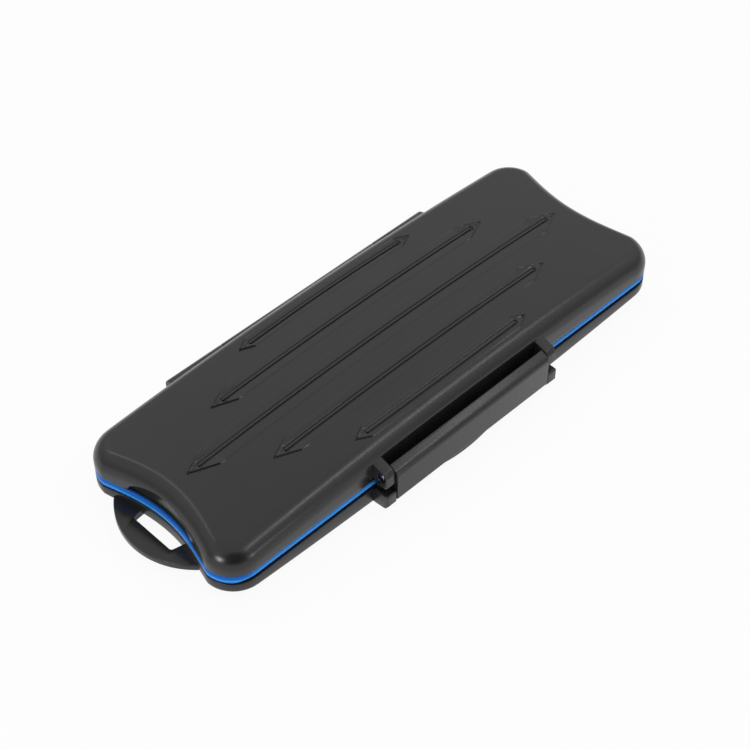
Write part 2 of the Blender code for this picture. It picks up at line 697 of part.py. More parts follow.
def make_flap(material):
    """The latch flap: a bent plate with a bored bead at its top and a hook along its bottom."""
    toe = rounded(
        [
            (FLAP_TOP_Y, FLAP_TOP_Z),
            (FLAP_FACE_Y, FLAP_SHOULDER_Z),
            (FLAP_FACE_Y, FLAP_BOTTOM_Z),
            (HOOK_TIP_Y - FLAP_EDGE_RADIUS, FLAP_BOTTOM_Z),
            (HOOK_TIP_Y, FLAP_BOTTOM_Z + FLAP_EDGE_RADIUS),
            (HOOK_TIP_Y, HOOK_TOP_Z),
            (FLAP_BACK_Y, HOOK_ROOT_Z),
        ],
        (0, FLAP_BEND_RADIUS, FLAP_EDGE_RADIUS, 0, 0, 0, 0),
    )
    lean = math.degrees(math.acos((FLAP_BACK_Y - LATCH_PIN_Y) / FLAP_BOSS_RADIUS))
    steps = CIRCLE_STEPS // 2
    bead = arc(LATCH_PIN_Y, LATCH_PIN_Z, FLAP_BOSS_RADIUS, -lean, BEAD_END_ANGLE, steps)
    profile = np.concatenate([toe, bead])
    flap = extrude_along_x("latch_flap", profile, -FLAP_HALF_LENGTH, FLAP_HALF_LENGTH)
    tab = extrude_along_x(
        "finger_lip",
        rounded(
            [
                (FLAP_FACE_Y + FIT / 2, FLAP_BOTTOM_Z + LIP_TAB_DROP),
                (FLAP_FACE_Y + FIT / 2, FLAP_BOTTOM_Z - LIP_TAB_DROP),
                (FLAP_FACE_Y + LIP_TAB_THICKNESS, FLAP_BOTTOM_Z - LIP_TAB_DROP),
                (FLAP_FACE_Y + LIP_TAB_THICKNESS, FLAP_BOTTOM_Z + LIP_TAB_DROP),
            ],
            (0, LIP_TAB_ROUND, LIP_TAB_ROUND, 0),
        ),
        LIP_TAB_MIDDLE - LIP_TAB_HALF_LENGTH,
        LIP_TAB_MIDDLE + LIP_TAB_HALF_LENGTH,
    )
    round_edges(flap, LOOP_EDGE_ROUND)
    boolean(flap, tab, "UNION")
    inner_end = EAR_OUTER - FIT - LATCH_PIN_LENGTH - FIT
    bores = mirrored_pair("flap_bores", latch_bore, inner_end, FLAP_HALF_LENGTH + OVERRUN)
    boolean(flap, bores, "DIFFERENCE")
    finish(flap, material)
    return flap


def make_pins(name, y, z, radius, outer, length, material):
    """A pin on each side of the case, whose origin is on its own axis."""
    for side, sign in (("left", -1), ("right", 1)):
        start, end = sorted((sign * (outer - length), sign * outer))
        pin = cylinder_along_x(f"{name}_{side}", 0, 0, radius, start, end, BORE_STEPS)
        pin.location = (0, y, z)
        finish(pin, material)


def tray_outline(z_low, z_high, name):
    rings = [
        ring(plan(TRAY_INSET + TRAY_EDGE_ROUND), z_low),
        ring(plan(TRAY_INSET), z_low + TRAY_EDGE_ROUND),
        ring(plan(TRAY_INSET), z_high - TRAY_EDGE_ROUND),
        ring(plan(TRAY_INSET + TRAY_EDGE_ROUND), z_high),
    ]
    return loft(name, rings, capped=True)


def pocket_centers():
    for column in range(POCKET_COLUMNS):
        x = (column - (POCKET_COLUMNS - 1) / 2) * COLUMN_PITCH
        for row in range(POCKET_ROWS):
            y = (row - (POCKET_ROWS - 1) / 2) * ROW_PITCH
            yield x, y


def make_tray(name, low, high, mouth, into, material):
    """A soft tray with card pockets and a finger scoop beside each, which open towards the mouth."""
    tray = tray_outline(low, high, name)
    signs = np.array([(1, -1), (1, 1), (-1, 1), (-1, -1)])
    half = np.array([POCKET_LENGTH, POCKET_WIDTH]) / 2
    outside = mouth - into * OVERRUN
    pockets = []
    scoops = []
    for number, (x, y) in enumerate(pocket_centers()):
        outline = rounded(signs * half + (x, y), [POCKET_CORNER] * len(signs))
        rings = [ring(outline, z) for z in (outside, mouth + into * POCKET_DEPTH)]
        pockets.append(loft(f"{name}_pocket_{number}", rings, capped=True))
        edge = y + math.copysign(half[1], y)
        circle = arc(x, edge, FINGER_RADIUS, 0, 360, CIRCLE_STEPS)[:-1]
        rings = [ring(circle, z) for z in (outside, mouth + into * FINGER_DEPTH)]
        scoops.append(loft(f"{name}_scoop_{number}", rings, capped=True))
    boolean(tray, merge_objects(f"{name}_pockets", pockets), "DIFFERENCE")
    boolean(tray, merge_objects(f"{name}_finger_scoops", scoops), "DIFFERENCE")
    finish(tray, material)
    return tray


def main():
    clear_scene()
    black = plastic("black_plastic", (0.028, 0.028, 0.029), 0.38)
    latch_black = plastic("latch_plastic", (0.034, 0.034, 0.035), 0.34)
    blue = plastic("blue_rubber", (0.012, 0.105, 0.440), 0.30)
    steel = plastic("steel", (0.72, 0.72, 0.74), 0.22, 1.0)
    foam = plastic("tray_rubber", (0.045, 0.045, 0.048), 0.75)
    make_base(black)
    make_lid(black)
    make_seal(blue)
    make_flap(latch_black)
    latch_end = EAR_OUTER - FIT
    make_pins("latch_pin", LATCH_PIN_Y, LATCH_PIN_Z, LATCH_PIN_RADIUS, latch_end, LATCH_PIN_LENGTH, steel)
    hinge_end = BARREL_HALF_LENGTH - HINGE_PIN_SUNK
    make_pins("hinge_pin", HINGE_Y, HINGE_Z, HINGE_PIN_RADIUS, hinge_end, HINGE_PIN_LENGTH, steel)
    make_tray("base_tray", BASE_TRAY_FLOOR_Z, BASE_TRAY_TOP_Z, BASE_TRAY_TOP_Z, -1, foam)
    make_tray("lid_tray", LID_TRAY_FLOOR_Z, LID_TRAY_TOP_Z, LID_TRAY_FLOOR_Z, 1, foam)


main()
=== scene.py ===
# %% [markdown]
# # A slim hard case for game cards
#
# The case is two black mouldings with a blue rubber seal between them, a long latch on the near
# side and a hinge on the far one. Each step below says what a piece is on the real object, then
# computes its surface as a function of two parameters on a grid. Lengths are in metres, Z is up,
# X runs along the case, and the origin is the middle of the flat underside. The packed model has
# the solids and their joints. Each solid gets a finer surface here, which rides on its body.

import json
import math

import bmesh
import bpy
import numpy as np
from mathutils import Matrix, Vector

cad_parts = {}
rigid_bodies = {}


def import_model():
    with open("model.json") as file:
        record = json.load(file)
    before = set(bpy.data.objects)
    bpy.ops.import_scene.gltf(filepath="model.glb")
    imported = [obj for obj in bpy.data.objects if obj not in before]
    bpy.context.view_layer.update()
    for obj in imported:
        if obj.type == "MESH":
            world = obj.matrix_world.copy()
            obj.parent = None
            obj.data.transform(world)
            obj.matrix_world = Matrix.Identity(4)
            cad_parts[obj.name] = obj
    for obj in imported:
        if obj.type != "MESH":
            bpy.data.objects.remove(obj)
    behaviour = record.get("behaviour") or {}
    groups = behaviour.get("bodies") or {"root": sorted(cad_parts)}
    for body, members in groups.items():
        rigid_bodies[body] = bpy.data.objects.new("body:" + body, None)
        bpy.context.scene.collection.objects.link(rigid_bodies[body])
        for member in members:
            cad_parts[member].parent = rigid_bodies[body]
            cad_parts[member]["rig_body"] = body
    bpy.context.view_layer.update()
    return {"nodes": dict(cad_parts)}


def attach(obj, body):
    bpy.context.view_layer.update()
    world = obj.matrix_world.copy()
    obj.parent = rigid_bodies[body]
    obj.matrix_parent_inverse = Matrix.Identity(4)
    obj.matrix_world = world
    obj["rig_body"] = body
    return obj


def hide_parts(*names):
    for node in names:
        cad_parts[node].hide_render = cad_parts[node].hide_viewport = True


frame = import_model()
print("nodes:", sorted(frame["nodes"]))

# %% [markdown]
# ## Sizes
#
# All pieces follow one plan outline: a rectangle with rounded corners, whose short ends are
# hollow. A surface of the case is that outline drawn in by an inset, at a height. The sizes that
# several pieces share stand here, and the others stand beside their piece.

# %% Sizes
HALF_LENGTH = 0.1000
HALF_WIDTH = 0.03587
CORNER_RADIUS = 0.0109
END_HOLLOW = 0.00475
END_HOLLOW_POWER = 1.2
END_SPAN = HALF_WIDTH - CORNER_RADIUS
CORNER_X = HALF_LENGTH - CORNER_RADIUS
WALL = 0.0020
FIT = 0.0003

LID_TOP = 0.0261
TOP_FALL_LONG = 0.00405
TOP_FALL_ACROSS = 0.00196
TOP_ROUND_WIDE = 0.0059
TOP_ROUND_HIGH = 0.00612
LID_RIM = 0.0125
BASE_RIM = 0.0086
BELLY_FALL_LONG = 0.00365
BELLY_FALL_ACROSS = 0.00116
BELLY_FLAT = 0.0006
BELLY_ROUND_WIDE = 0.0030
BELLY_ROUND_HIGH = 0.0020
RIM_ROUND = 0.00025

SOFT_EDGE = 0.0004
CRISP_EDGE = 0.00025
EDGE_STEPS = 4
BEND_STEPS = 8
CORNER_STEPS = 10
PROFILE_SPACING = 0.0006
SHARP_ANGLE = math.radians(40)
MERGE = 0.0000004
print("body:", 2 * HALF_LENGTH, "by", 2 * HALF_WIDTH, "by", LID_TOP, "metres")

# %% [markdown]
# ## Grids and pieces
#
# A moulding is one skin of smooth faces. It could be carved from a block, but a surface worked
# out from a formula has its lines where a form needs them, so that small relief stays crisp. A
# grid of points becomes quads between neighbouring points, and a tube is a grid whose rows are
# closed rings. A piece collects the grids that belong to one moulding, joins the points that
# coincide, turns the faces outward and rides on its body in place of the packed node.


# %% Grids
def grid(points, close_rows=False, close_columns=False):
    """Vertices and quads of points in rows and columns."""
    rows, columns = points.shape[:2]
    index = np.arange(rows * columns).reshape(rows, columns)
    if close_columns:
        index = np.concatenate([index, index[:, :1]], 1)
    if close_rows:
        index = np.concatenate([index, index[:1]], 0)
    corners = (index[:-1, :-1], index[:-1, 1:], index[1:, 1:], index[1:, :-1])
    return points.reshape(-1, 3), np.stack(corners, -1).reshape(-1, 4).tolist()


def tube(rings, through=False):
    """A closed shell of rings, capped at both ends or, for a bore, joined from last to first."""
    vertices, faces = grid(rings, close_rows=through, close_columns=True)
    if not through:
        count = rings.shape[1]
        faces += [list(range(count))[::-1], list(range(len(vertices) - count, len(vertices)))]
    return vertices, faces


def joined(shells):
    """Vertices and faces of several grids as one list of each."""
    points, faces, start = [], [], 0
    for shell_points, shell_faces in shells:
        points.append(shell_points)
        faces += [[start + i for i in face] for face in shell_faces]
        start += len(shell_points)
    return np.concatenate(points), faces


print("faces of 3 by 2 points:", grid(np.zeros((3, 2, 3)))[1])


# %% Pieces
def make_piece(name, node, shells, material):
    """A finished piece made of closed shells, which stands for a packed node of its body."""
    points, faces = joined(shells)
    data = bpy.data.meshes.new(name)
    data.from_pydata(points.tolist(), [], faces)
    mesh = bmesh.new()
    mesh.from_mesh(data)
    bmesh.ops.remove_doubles(mesh, verts=mesh.verts, dist=MERGE)
    bmesh.ops.dissolve_degenerate(mesh, edges=mesh.edges, dist=MERGE)
    bmesh.ops.recalc_face_normals(mesh, faces=mesh.faces)
    open_edges = sum(not edge.is_manifold for edge in mesh.edges)
    mesh.to_mesh(data)
    mesh.free()
    data.shade_smooth()
    data.set_sharp_from_angle(angle=SHARP_ANGLE)
    data.materials.append(material)
    piece = bpy.data.objects.new(name, data)
    bpy.context.scene.collection.objects.link(piece)
    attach(piece, frame["nodes"][node]["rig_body"])
    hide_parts(node)
    data.calc_loop_triangles()
    print(f"{name}: {len(data.loop_triangles)} triangles, {open_edges} open edges")


# %% [markdown]
# ## Shader sums
#
# A finish is a sum of patterns. Its nodes could be placed and linked one by one, but that hides
# the sum. So a wire, which is the output of a shader node, takes part in sums as a number does,
# and a material reads like the formula that it is.


# %% Shader sums
class Wire:
    """The output of a shader node, which adds, subtracts and multiplies like a number."""

    def __init__(self, socket):
        self.socket = socket

    def node(self, kind, settings=(), inputs=()):
        """Adds another node to the same node tree and returns its outputs by name."""
        return add_node(self.socket.id_data, kind, settings, inputs)

    def sum(self, operation, *values):
        """The result of one operation of the Math node on wires or numbers."""
        inputs = dict(enumerate(values))
        return self.node("ShaderNodeMath", {"operation": operation}, inputs)["Value"]

    def __add__(self, other):
        return self.sum("ADD", self, other)

    def __sub__(self, other):
        return self.sum("SUBTRACT", self, other)

    def __rsub__(self, other):
        return self.sum("SUBTRACT", other, self)

    def __mul__(self, other):
        return self.sum("MULTIPLY", self, other)

    __radd__ = __add__
    __rmul__ = __mul__

    def ramp(self, low, high):
        """0 below low, 1 above high and a smooth rise between them."""
        settings = {"interpolation_type": "SMOOTHSTEP"}
        inputs = {"Value": self, "From Min": low, "From Max": high}
        return self.node("ShaderNodeMapRange", settings, inputs)["Result"]


print("a wire has:", [name for name in vars(Wire) if "__" not in name])

# %% Nodes, materials and patterns


def add_node(tree, kind, settings=(), inputs=()):
    """Adds a node, sets its own settings and feeds its inputs with wires or values."""
    node = tree.nodes.new(kind)
    for key, value in dict(settings).items():
        setattr(node, key, value)
    for key, value in dict(inputs).items():
        if isinstance(value, Wire):
            tree.links.new(value.socket, node.inputs[key])
        else:
            node.inputs[key].default_value = value
    return {output.name: Wire(output) for output in node.outputs if output.enabled}


def new_material(name, **constants):
    """A material with one Principled shader, and the feed that links wires to it."""
    material = bpy.data.materials.new(name)
    material.use_nodes = True
    tree = material.node_tree
    shader = tree.nodes["Principled BSDF"]
    for key, value in constants.items():
        shader.inputs[key.replace("_", " ").title().replace("Ior", "IOR")].default_value = value

    def feed(**wires):
        for key, wire in wires.items():
            tree.links.new(wire.socket, shader.inputs[key.replace("_", " ").title()])

    return material, tree, feed


def noise(place, scale, detail=2.0, roughness=0.5, stretch=(1, 1, 1)):
    """Noise around 0.5 at a place in metres, with scale in waves per metre."""
    if stretch != (1, 1, 1):
        place = place.node("ShaderNodeMapping", (), {"Vector": place, "Scale": stretch})["Vector"]
    inputs = {"Vector": place, "Scale": scale, "Detail": detail, "Roughness": roughness}
    return place.node("ShaderNodeTexNoise", (), inputs)["Fac"]


def blend(factor, low, high):
    """The colour low + factor (high - low)."""
    inputs = {0: factor, 6: (*low, 1.0), 7: (*high, 1.0)}
    return factor.node("ShaderNodeMix", {"data_type": "RGBA"}, inputs)["Result"]


def bump(height):
    """A normal that follows a height in millimetres."""
    inputs = {"Height": height, "Distance": 0.001, "Strength": 1.0}
    return height.node("ShaderNodeBump", (), inputs)["Normal"]


def dot(wire, other):
    """The dot product of two vectors, of which the first is a wire."""
    settings = {"operation": "DOT_PRODUCT"}
    return wire.node("ShaderNodeVectorMath", settings, {0: wire, 1: other})["Value"]


def edge_mask(tree, radius):
    """1 on worn outer edges of about the radius, and 0 on flat faces."""
    rounded_normal = add_node(tree, "ShaderNodeBevel", {"samples": 4}, {"Radius": radius})["Normal"]
    normal = add_node(tree, "ShaderNodeNewGeometry")["Normal"]
    return (1 - dot(normal, rounded_normal)).ramp(0.01, 0.12)


# %% [markdown]
# ## Materials
#
# The shells and the latch are moulded in a black plastic with a fine spark-eroded grain. The
# gloss differs a little from place to place, a few hair scratches cross the faces and the edges
# are polished by handling. The seal is blue silicone with a painted highlight as a pale streak
# along its bulge and painted shade at its foot, the trays are matt rubber with a little lint,
# and the pins are drawn steel. Photographs of such finishes could be wrapped round the pieces,
# but noise in space has no seams and stays sharp.


# %% Moulded plastic
def moulded_plastic(name, dark, painted_highlight, gloss):
    """Black plastic whose grey is between dark and pale and whose roughness is about gloss."""
    material, tree, feed = new_material(name, ior=1.5)
    place = add_node(tree, "ShaderNodeTexCoord")["Object"]
    cloud = noise(place, 55, 3)
    spark = noise(place, 3800, 2, 0.6)
    hair = noise(place, 420, 1, 0.5, (0.04, 1, 1)).ramp(0.70, 0.76)
    hair_across = noise(place, 380, 1, 0.5, (1, 0.05, 1)).ramp(0.71, 0.77)
    speck = noise(place, 900, 0).ramp(0.80, 0.86)
    worn = edge_mask(tree, 0.00035)
    scratch = hair + hair_across
    mixed = cloud * 0.6 + spark * 0.4 + worn * 0.5 + speck * 0.6
    feed(base_color=blend(mixed, (dark,) * 3, (painted_highlight,) * 3))
    rough = gloss + (cloud - 0.5) * 0.08 + (spark - 0.5) * 0.07
    feed(roughness=rough - worn * 0.06 - scratch * 0.05)
    feed(normal=bump(spark * 0.002 - scratch * 0.002))
    return material


shell_black = moulded_plastic("shell_plastic", 0.008, 0.016, 0.26)
latch_black = moulded_plastic("latch_plastic", 0.009, 0.017, 0.27)
print("moulded plastic:", len(shell_black.node_tree.nodes), "nodes")


# %% Silicone
def seal_silicone():
    """Blue silicone, with painted highlight on its bulge (lower round the ends) and painted shade
    at its foot.
    """
    material, tree, feed = new_material("seal_silicone", ior=1.4, specular_ior_level=0.06)
    place = add_node(tree, "ShaderNodeTexCoord")["Object"]
    cloud = noise(place, 70, 3)
    fine = noise(place, 2600, 2)
    parts = place.node("ShaderNodeSeparateXYZ", (), {"Vector": place})
    ends = parts["X"].sum("ABSOLUTE", parts["X"]).ramp(0.088, 0.095)
    height = parts["Z"] * 1000 + cloud * 0.3 + ends * 0.9
    # painted highlight: a band of paler blue by height, placed lower round the ends, with the top
    # left deep blue
    painted_highlight = height.ramp(10.4, 11.1) * (1 - height.ramp(11.4, 12.0) * (ends * 0.35 + 0.6))
    # the middle term is painted shade, which darkens the blue towards the seal's foot
    body = painted_highlight * 0.75 + height.ramp(9.2, 10.8) * 0.12 + fine * 0.1
    # the pale colour is the painted highlight's
    feed(base_color=blend(body, (0.004, 0.080, 0.46), (0.060, 0.37, 0.93)))
    feed(roughness=0.24 + cloud * 0.12)
    feed(normal=bump(fine * 0.004 + cloud * 0.02))
    return material


blue = seal_silicone()
print("silicone:", len(blue.node_tree.nodes), "nodes")


# %% Steel
def drawn_steel():
    """Steel with fine lines drawn along it."""
    material, tree, feed = new_material("drawn_steel", metallic=1.0)
    place = add_node(tree, "ShaderNodeTexCoord")["Object"]
    lines = noise(place, 3000, 2, 0.6, (0.02, 1, 1))
    cloud = noise(place, 200, 2)
    feed(base_color=blend(cloud, (0.56, 0.56, 0.57), (0.74, 0.74, 0.75)))
    feed(roughness=0.18 + lines * 0.16)
    feed(normal=bump(lines * 0.003))
    return material


steel = drawn_steel()
print("steel:", len(steel.node_tree.nodes), "nodes")


# %% Tray rubber
def tray_rubber():
    """Dark matt rubber with a few short fibres of lint."""
    material, tree, feed = new_material("tray_rubber", ior=1.45)
    place = add_node(tree, "ShaderNodeTexCoord")["Object"]
    cloud = noise(place, 60, 3)
    fine = noise(place, 3000, 3, 0.6)
    lint = noise(place, 700, 1, 0.5, (1, 0.3, 1)).ramp(0.76, 0.83)
    mixed = cloud * 0.6 + fine * 0.4 + lint * 0.5
    feed(base_color=blend(mixed, (0.030, 0.030, 0.032), (0.062, 0.062, 0.065)))
    feed(roughness=0.66 + fine * 0.2)
    feed(normal=bump(fine * 0.02))
    return material


rubber = tray_rubber()
print("tray rubber:", len(rubber.node_tree.nodes), "nodes")

# %% [markdown]
# ## The plan outline
#
# Seen from above, every wall, rim and ledge of the case follows one line, nearer or further in.
# Each could be drawn by itself, but then their points would not match. So an outline keeps its
# points and the direction in which each moves when the outline grows: straight out on a side or
# an end, and away from the corner's centre in a corner. Then every ring of the case has the same
# points, whatever its inset, and rings join into quads.


# %% The plan outline
def smooth(t):
    """A smooth rise from 0 to 1, which is 3 t^2 - 2 t^3."""
    return t * t * (3 - 2 * t)


def end_hollow(y):
    """Hollow of the end wall at y: its depth times 1 - (y / span)^2 to a power."""
    return END_HOLLOW * np.clip(1 - (y / END_SPAN) ** 2, 0, 1) ** END_HOLLOW_POWER


def end_place(y, inset):
    """Distance along X of the end wall at y.

    In a corner it is that of the corner's centre plus sqrt(radius^2 - beyond^2).
    """
    radius = CORNER_RADIUS - inset
    beyond = np.clip(np.abs(y) - END_SPAN, 0, radius)
    corner = CORNER_X + np.sqrt(radius**2 - beyond**2)
    return np.where(beyond > 0, corner, HALF_LENGTH - inset - end_hollow(y))


def outward(points):
    """Unit directions in which points of an outline move as it grows."""
    x, y = points[:, 0], points[:, 1]
    from_center = np.stack([np.abs(x) - CORNER_X, np.abs(y) - END_SPAN], 1)
    from_center = np.clip(from_center, 0, None)
    from_center[(from_center <= 1e-9).all(1)] = (1, 0)
    return from_center / np.linalg.norm(from_center, axis=1)[:, None] * np.sign(points)


def inset_of(x, y):
    """How far inside the outline a point is, measured as the insets are."""
    side = HALF_WIDTH - np.abs(y)
    end = HALF_LENGTH - end_hollow(y) - np.abs(x)
    across = np.hypot(np.abs(x) - CORNER_X, np.abs(y) - END_SPAN)
    in_corner = (np.abs(x) > CORNER_X) & (np.abs(y) > END_SPAN)
    flat = np.where(np.abs(y) <= END_SPAN, np.minimum(side, end), side)
    return np.where(in_corner, CORNER_RADIUS - across, flat)


def corner_lines(inset):
    """Places of a corner's points across the case, from the end's span to the side."""
    turn = np.linspace(0, np.pi / 2, CORNER_STEPS + 1)[1:]
    return END_SPAN + (CORNER_RADIUS - inset) * np.sin(turn)


def border(x, y):
    """Places round the edge of a grid of x and y, anticlockwise."""
    ahead, back = slice(None, -1), slice(None, 0, -1)
    edges = [(0, ahead), (ahead, -1), (-1, back), (back, 0)]
    return np.concatenate([np.stack([x[edge], y[edge]], 1) for edge in edges])


print("end walls at y = 0 and at the corners:", end_place(np.array([0, END_SPAN]), 0))


# %% Crowned faces
def top_crown(points):
    """Height of the lid's crown, which falls with the square of the share of the way out."""
    share = points / (HALF_LENGTH, HALF_WIDTH)
    return LID_TOP - share**2 @ (TOP_FALL_LONG, TOP_FALL_ACROSS)


def belly_crown(points):
    """Height of the base's belly, a like crown upside down, cut flat where it rests."""
    share = points / (HALF_LENGTH, HALF_WIDTH)
    return np.maximum(share**2 @ (BELLY_FALL_LONG, BELLY_FALL_ACROSS) - BELLY_FLAT, 0)


print("crown's middle and end:", top_crown(np.array([[0, 0], [HALF_LENGTH, 0]])))


# %% Rings of the outline
class Outline:
    """Points round the case, known at one inset, from which rings at any inset are made."""

    def __init__(self, points, inset):
        self.points = points
        self.inset = inset
        self.out = outward(points)

    def at(self, inset):
        """The outline at an inset, which is a number or one number for each point."""
        return self.points + (self.inset - np.reshape(inset, (-1, 1))) * self.out

    def ring(self, inset, height, rise=0):
        """Points in space at an inset and at a height, or at a rise above a crowned face."""
        flat = self.at(inset)
        level = height(flat) + rise if callable(height) else height
        return np.column_stack([flat, np.broadcast_to(level, len(flat))])

    def inward(self, inset, crown, shares, rise=0):
        """Rings above a crown from an inset to the middle line, which they reach at share 1."""
        flat = self.at(inset)
        reach = HALF_LENGTH - HALF_WIDTH
        middle = np.stack([np.clip(flat[:, 0], -reach, reach), np.zeros(len(flat))], 1)
        rings = [flat + (middle - flat) * share for share in shares]
        return [np.column_stack([ring, crown(ring) + rise]) for ring in rings]


def plain_outline(side_steps, end_steps):
    """An outline at no inset with evenly spaced points on its sides and ends."""
    y = np.concatenate([[-HALF_WIDTH], -corner_lines(0)[-2::-1],
                        np.linspace(-END_SPAN, END_SPAN, end_steps + 1),
                        corner_lines(0)[:-1], [HALF_WIDTH]])
    x = np.linspace(-CORNER_X, CORNER_X, side_steps + 1)
    side, end = np.full_like(x, HALF_WIDTH), end_place(y, 0)
    parts = [(x, -side), (end[1:-1], y[1:-1]), (x[::-1], side), (-end[-2:0:-1], y[-2:0:-1])]
    return Outline(np.concatenate([np.stack(part, 1) for part in parts]), 0)


around = plain_outline(72, 56)
print("outline points:", len(around.points))

# %% [markdown]
# ## Bars
#
# Ears, lugs, knuckles, the latch flap and the pins keep one profile along X. Each could be a box
# with a Bevel modifier, but that rounds all edges alike. So a profile is listed by its corners,
# each with the radius of its round. The bar's end edges are rounded by drawing the profile in
# over a quarter turn, and a bore joins the two end faces.


# %% Profiles
def rounded(table):
    """A polygon whose corners (y, z, radius) are replaced by arcs, at radius 0 by themselves.

    The centre of an arc lies on the line that halves the corner, radius / sin(half) from it.
    """
    table = np.array(table, float)
    corners = table[:, :2]
    result = []
    for i, (corner, radius) in enumerate(zip(corners, table[:, 2])):
        back = corners[i - 1] - corner
        ahead = corners[(i + 1) % len(corners)] - corner
        back /= np.linalg.norm(back)
        ahead /= np.linalg.norm(ahead)
        if not radius:
            result.append(corner[None])
            continue
        half = math.acos(float(np.clip(back @ ahead, -1, 1))) / 2
        middle = (back + ahead) / np.linalg.norm(back + ahead)
        center = corner + middle * radius / math.sin(half)
        start = corner + back * radius / math.tan(half) - center
        end = corner + ahead * radius / math.tan(half) - center
        turn = math.atan2(start[0] * end[1] - start[1] * end[0], start @ end)
        angle = (turn * np.linspace(0, 1, BEND_STEPS + 1))[:, None]
        across = np.array([-start[1], start[0]])
        result.append(center + start * np.cos(angle) + across * np.sin(angle))
    return np.concatenate(result)


def arc(center, radius, start, end, steps):
    """Points on an arc between two angles in degrees, ends included."""
    angle = np.radians(np.linspace(start, end, steps + 1))
    return np.array(center) + radius * np.stack([np.cos(angle), np.sin(angle)], 1)


def refined(profile, spacing):
    """The profile with points added along its long edges."""
    closed = np.concatenate([profile, profile[:1]])
    length = np.concatenate([[0], np.cumsum(np.linalg.norm(np.diff(closed, axis=0), axis=1))])
    extra = np.arange(0, length[-1], spacing)
    gap = np.abs(extra[:, None] - length[None]).min(1)
    places = np.sort(np.concatenate([length[:-1], extra[gap > spacing / 3]]))
    return np.stack([np.interp(places, length, closed[:, k]) for k in (0, 1)], 1)


def shrunk(profile, distance):
    """The anticlockwise profile drawn in by a distance.

    A point moves along the sum of its edges' inward normals, over 1 plus their dot product.
    """
    along = np.roll(profile, -1, axis=0) - profile
    inward = np.stack([-along[:, 1], along[:, 0]], 1) / np.linalg.norm(along, axis=1)[:, None]
    before = np.roll(inward, 1, axis=0)
    both = inward + before
    return profile + both * distance / (1 + (inward * before).sum(1))[:, None]


def anticlockwise(profile):
    """The profile, turned round if it runs clockwise."""
    x, y = profile.T
    area = (x * np.roll(y, -1) - y * np.roll(x, -1)).sum()
    return profile if area > 0 else profile[::-1]


print("points of a rounded square:", len(rounded([(0, 0, 1), (4, 0, 1), (4, 4, 1), (0, 4, 1)])))


# %% Bars
def bar(profile, start, end, edge, bore=None, mouth=(0, 0)):
    """A shell of one (y, z) profile from start to end along X, with rounded ends.

    At turn t of a quarter circle the profile is drawn in by edge (1 - sin t) and the ring stands
    edge (1 - cos t) from the end face. A bore is (center, radius), and its mouth (radius, depth).
    """
    profile = anticlockwise(refined(profile, PROFILE_SPACING))
    turn = np.linspace(0, np.pi / 2, EDGE_STEPS + 1)
    cuts = [(edge * (1 - math.cos(t)), shrunk(profile, edge * (1 - math.sin(t)))) for t in turn]
    if bore:
        center, radius = np.array(bore[0]), bore[1]
        away = profile - center
        away /= np.linalg.norm(away, axis=1)[:, None]
        lip = edge / 3
        steps = [(mouth[1] + lip, radius), (mouth[1], radius + lip)]
        if mouth[1]:
            steps += [(mouth[1], mouth[0]), (lip, mouth[0]), (0, mouth[0] + lip)]
        cuts = [(depth, center + away * wide) for depth, wide in steps] + cuts
    rings = [(start + depth, ring) for depth, ring in cuts]
    rings += [(end - depth, ring) for depth, ring in cuts[::-1]]
    rings = [np.column_stack([np.full(len(ring), x), ring]) for x, ring in rings]
    return tube(np.stack(rings), through=bore is not None)


def both_sides(profile, inner, outer, edge, *bore):
    """The like bar on the left and on the right of the middle."""
    return [bar(profile, *sorted((sign * inner, sign * outer)), edge, *bore) for sign in (-1, 1)]


print("faces of a short bar:", len(bar(arc((0, 0), 0.001, 0, 270, 3), 0, 0.002, SOFT_EDGE)[1]))

# %% Ribs
RIB_PLACES = (-0.02383, -0.00794, 0.00794, 0.02383)
RIB_HALF_LENGTH = 0.086
RIB_HALF_WIDTH = 0.00075


def ribs(crown, rise, end_z):
    """Lengthwise ribs between a crowned wall and the tray that rests on them."""
    shells = []
    x = np.linspace(-RIB_HALF_LENGTH, RIB_HALF_LENGTH, 25)
    for middle in RIB_PLACES:
        root = crown(np.stack([x, np.full_like(x, middle)], 1)) + rise
        corners = [(-1, 0 * x + end_z), (1, 0 * x + end_z), (1, root), (-1, root)]
        edges = [np.stack([x, 0 * x + middle + side * RIB_HALF_WIDTH, z], 1) for side, z in corners]
        shells.append(tube(np.stack(edges, 1)))
    return shells


print("ribs:", len(RIB_PLACES), "in each half,", 2 * RIB_HALF_LENGTH, "long")

# %% [markdown]
# ## The lid
#
# The lid is a shallow crowned dome with a wide rounded edge. Five long double-headed arrows stand
# up from it a little. Their pointed ends have a steep raised rim, which sinks to a faint step
# along the shaft, and a narrow channel with a thin ridge in it runs along the middle. Arrows that
# are solids of their own would have to be bent to the dome, so they are a height added to it. The
# lines of the grid follow the arrows and close up to a narrow bundle beyond the tips, so that the
# relief stays crisp without a dense mesh everywhere.

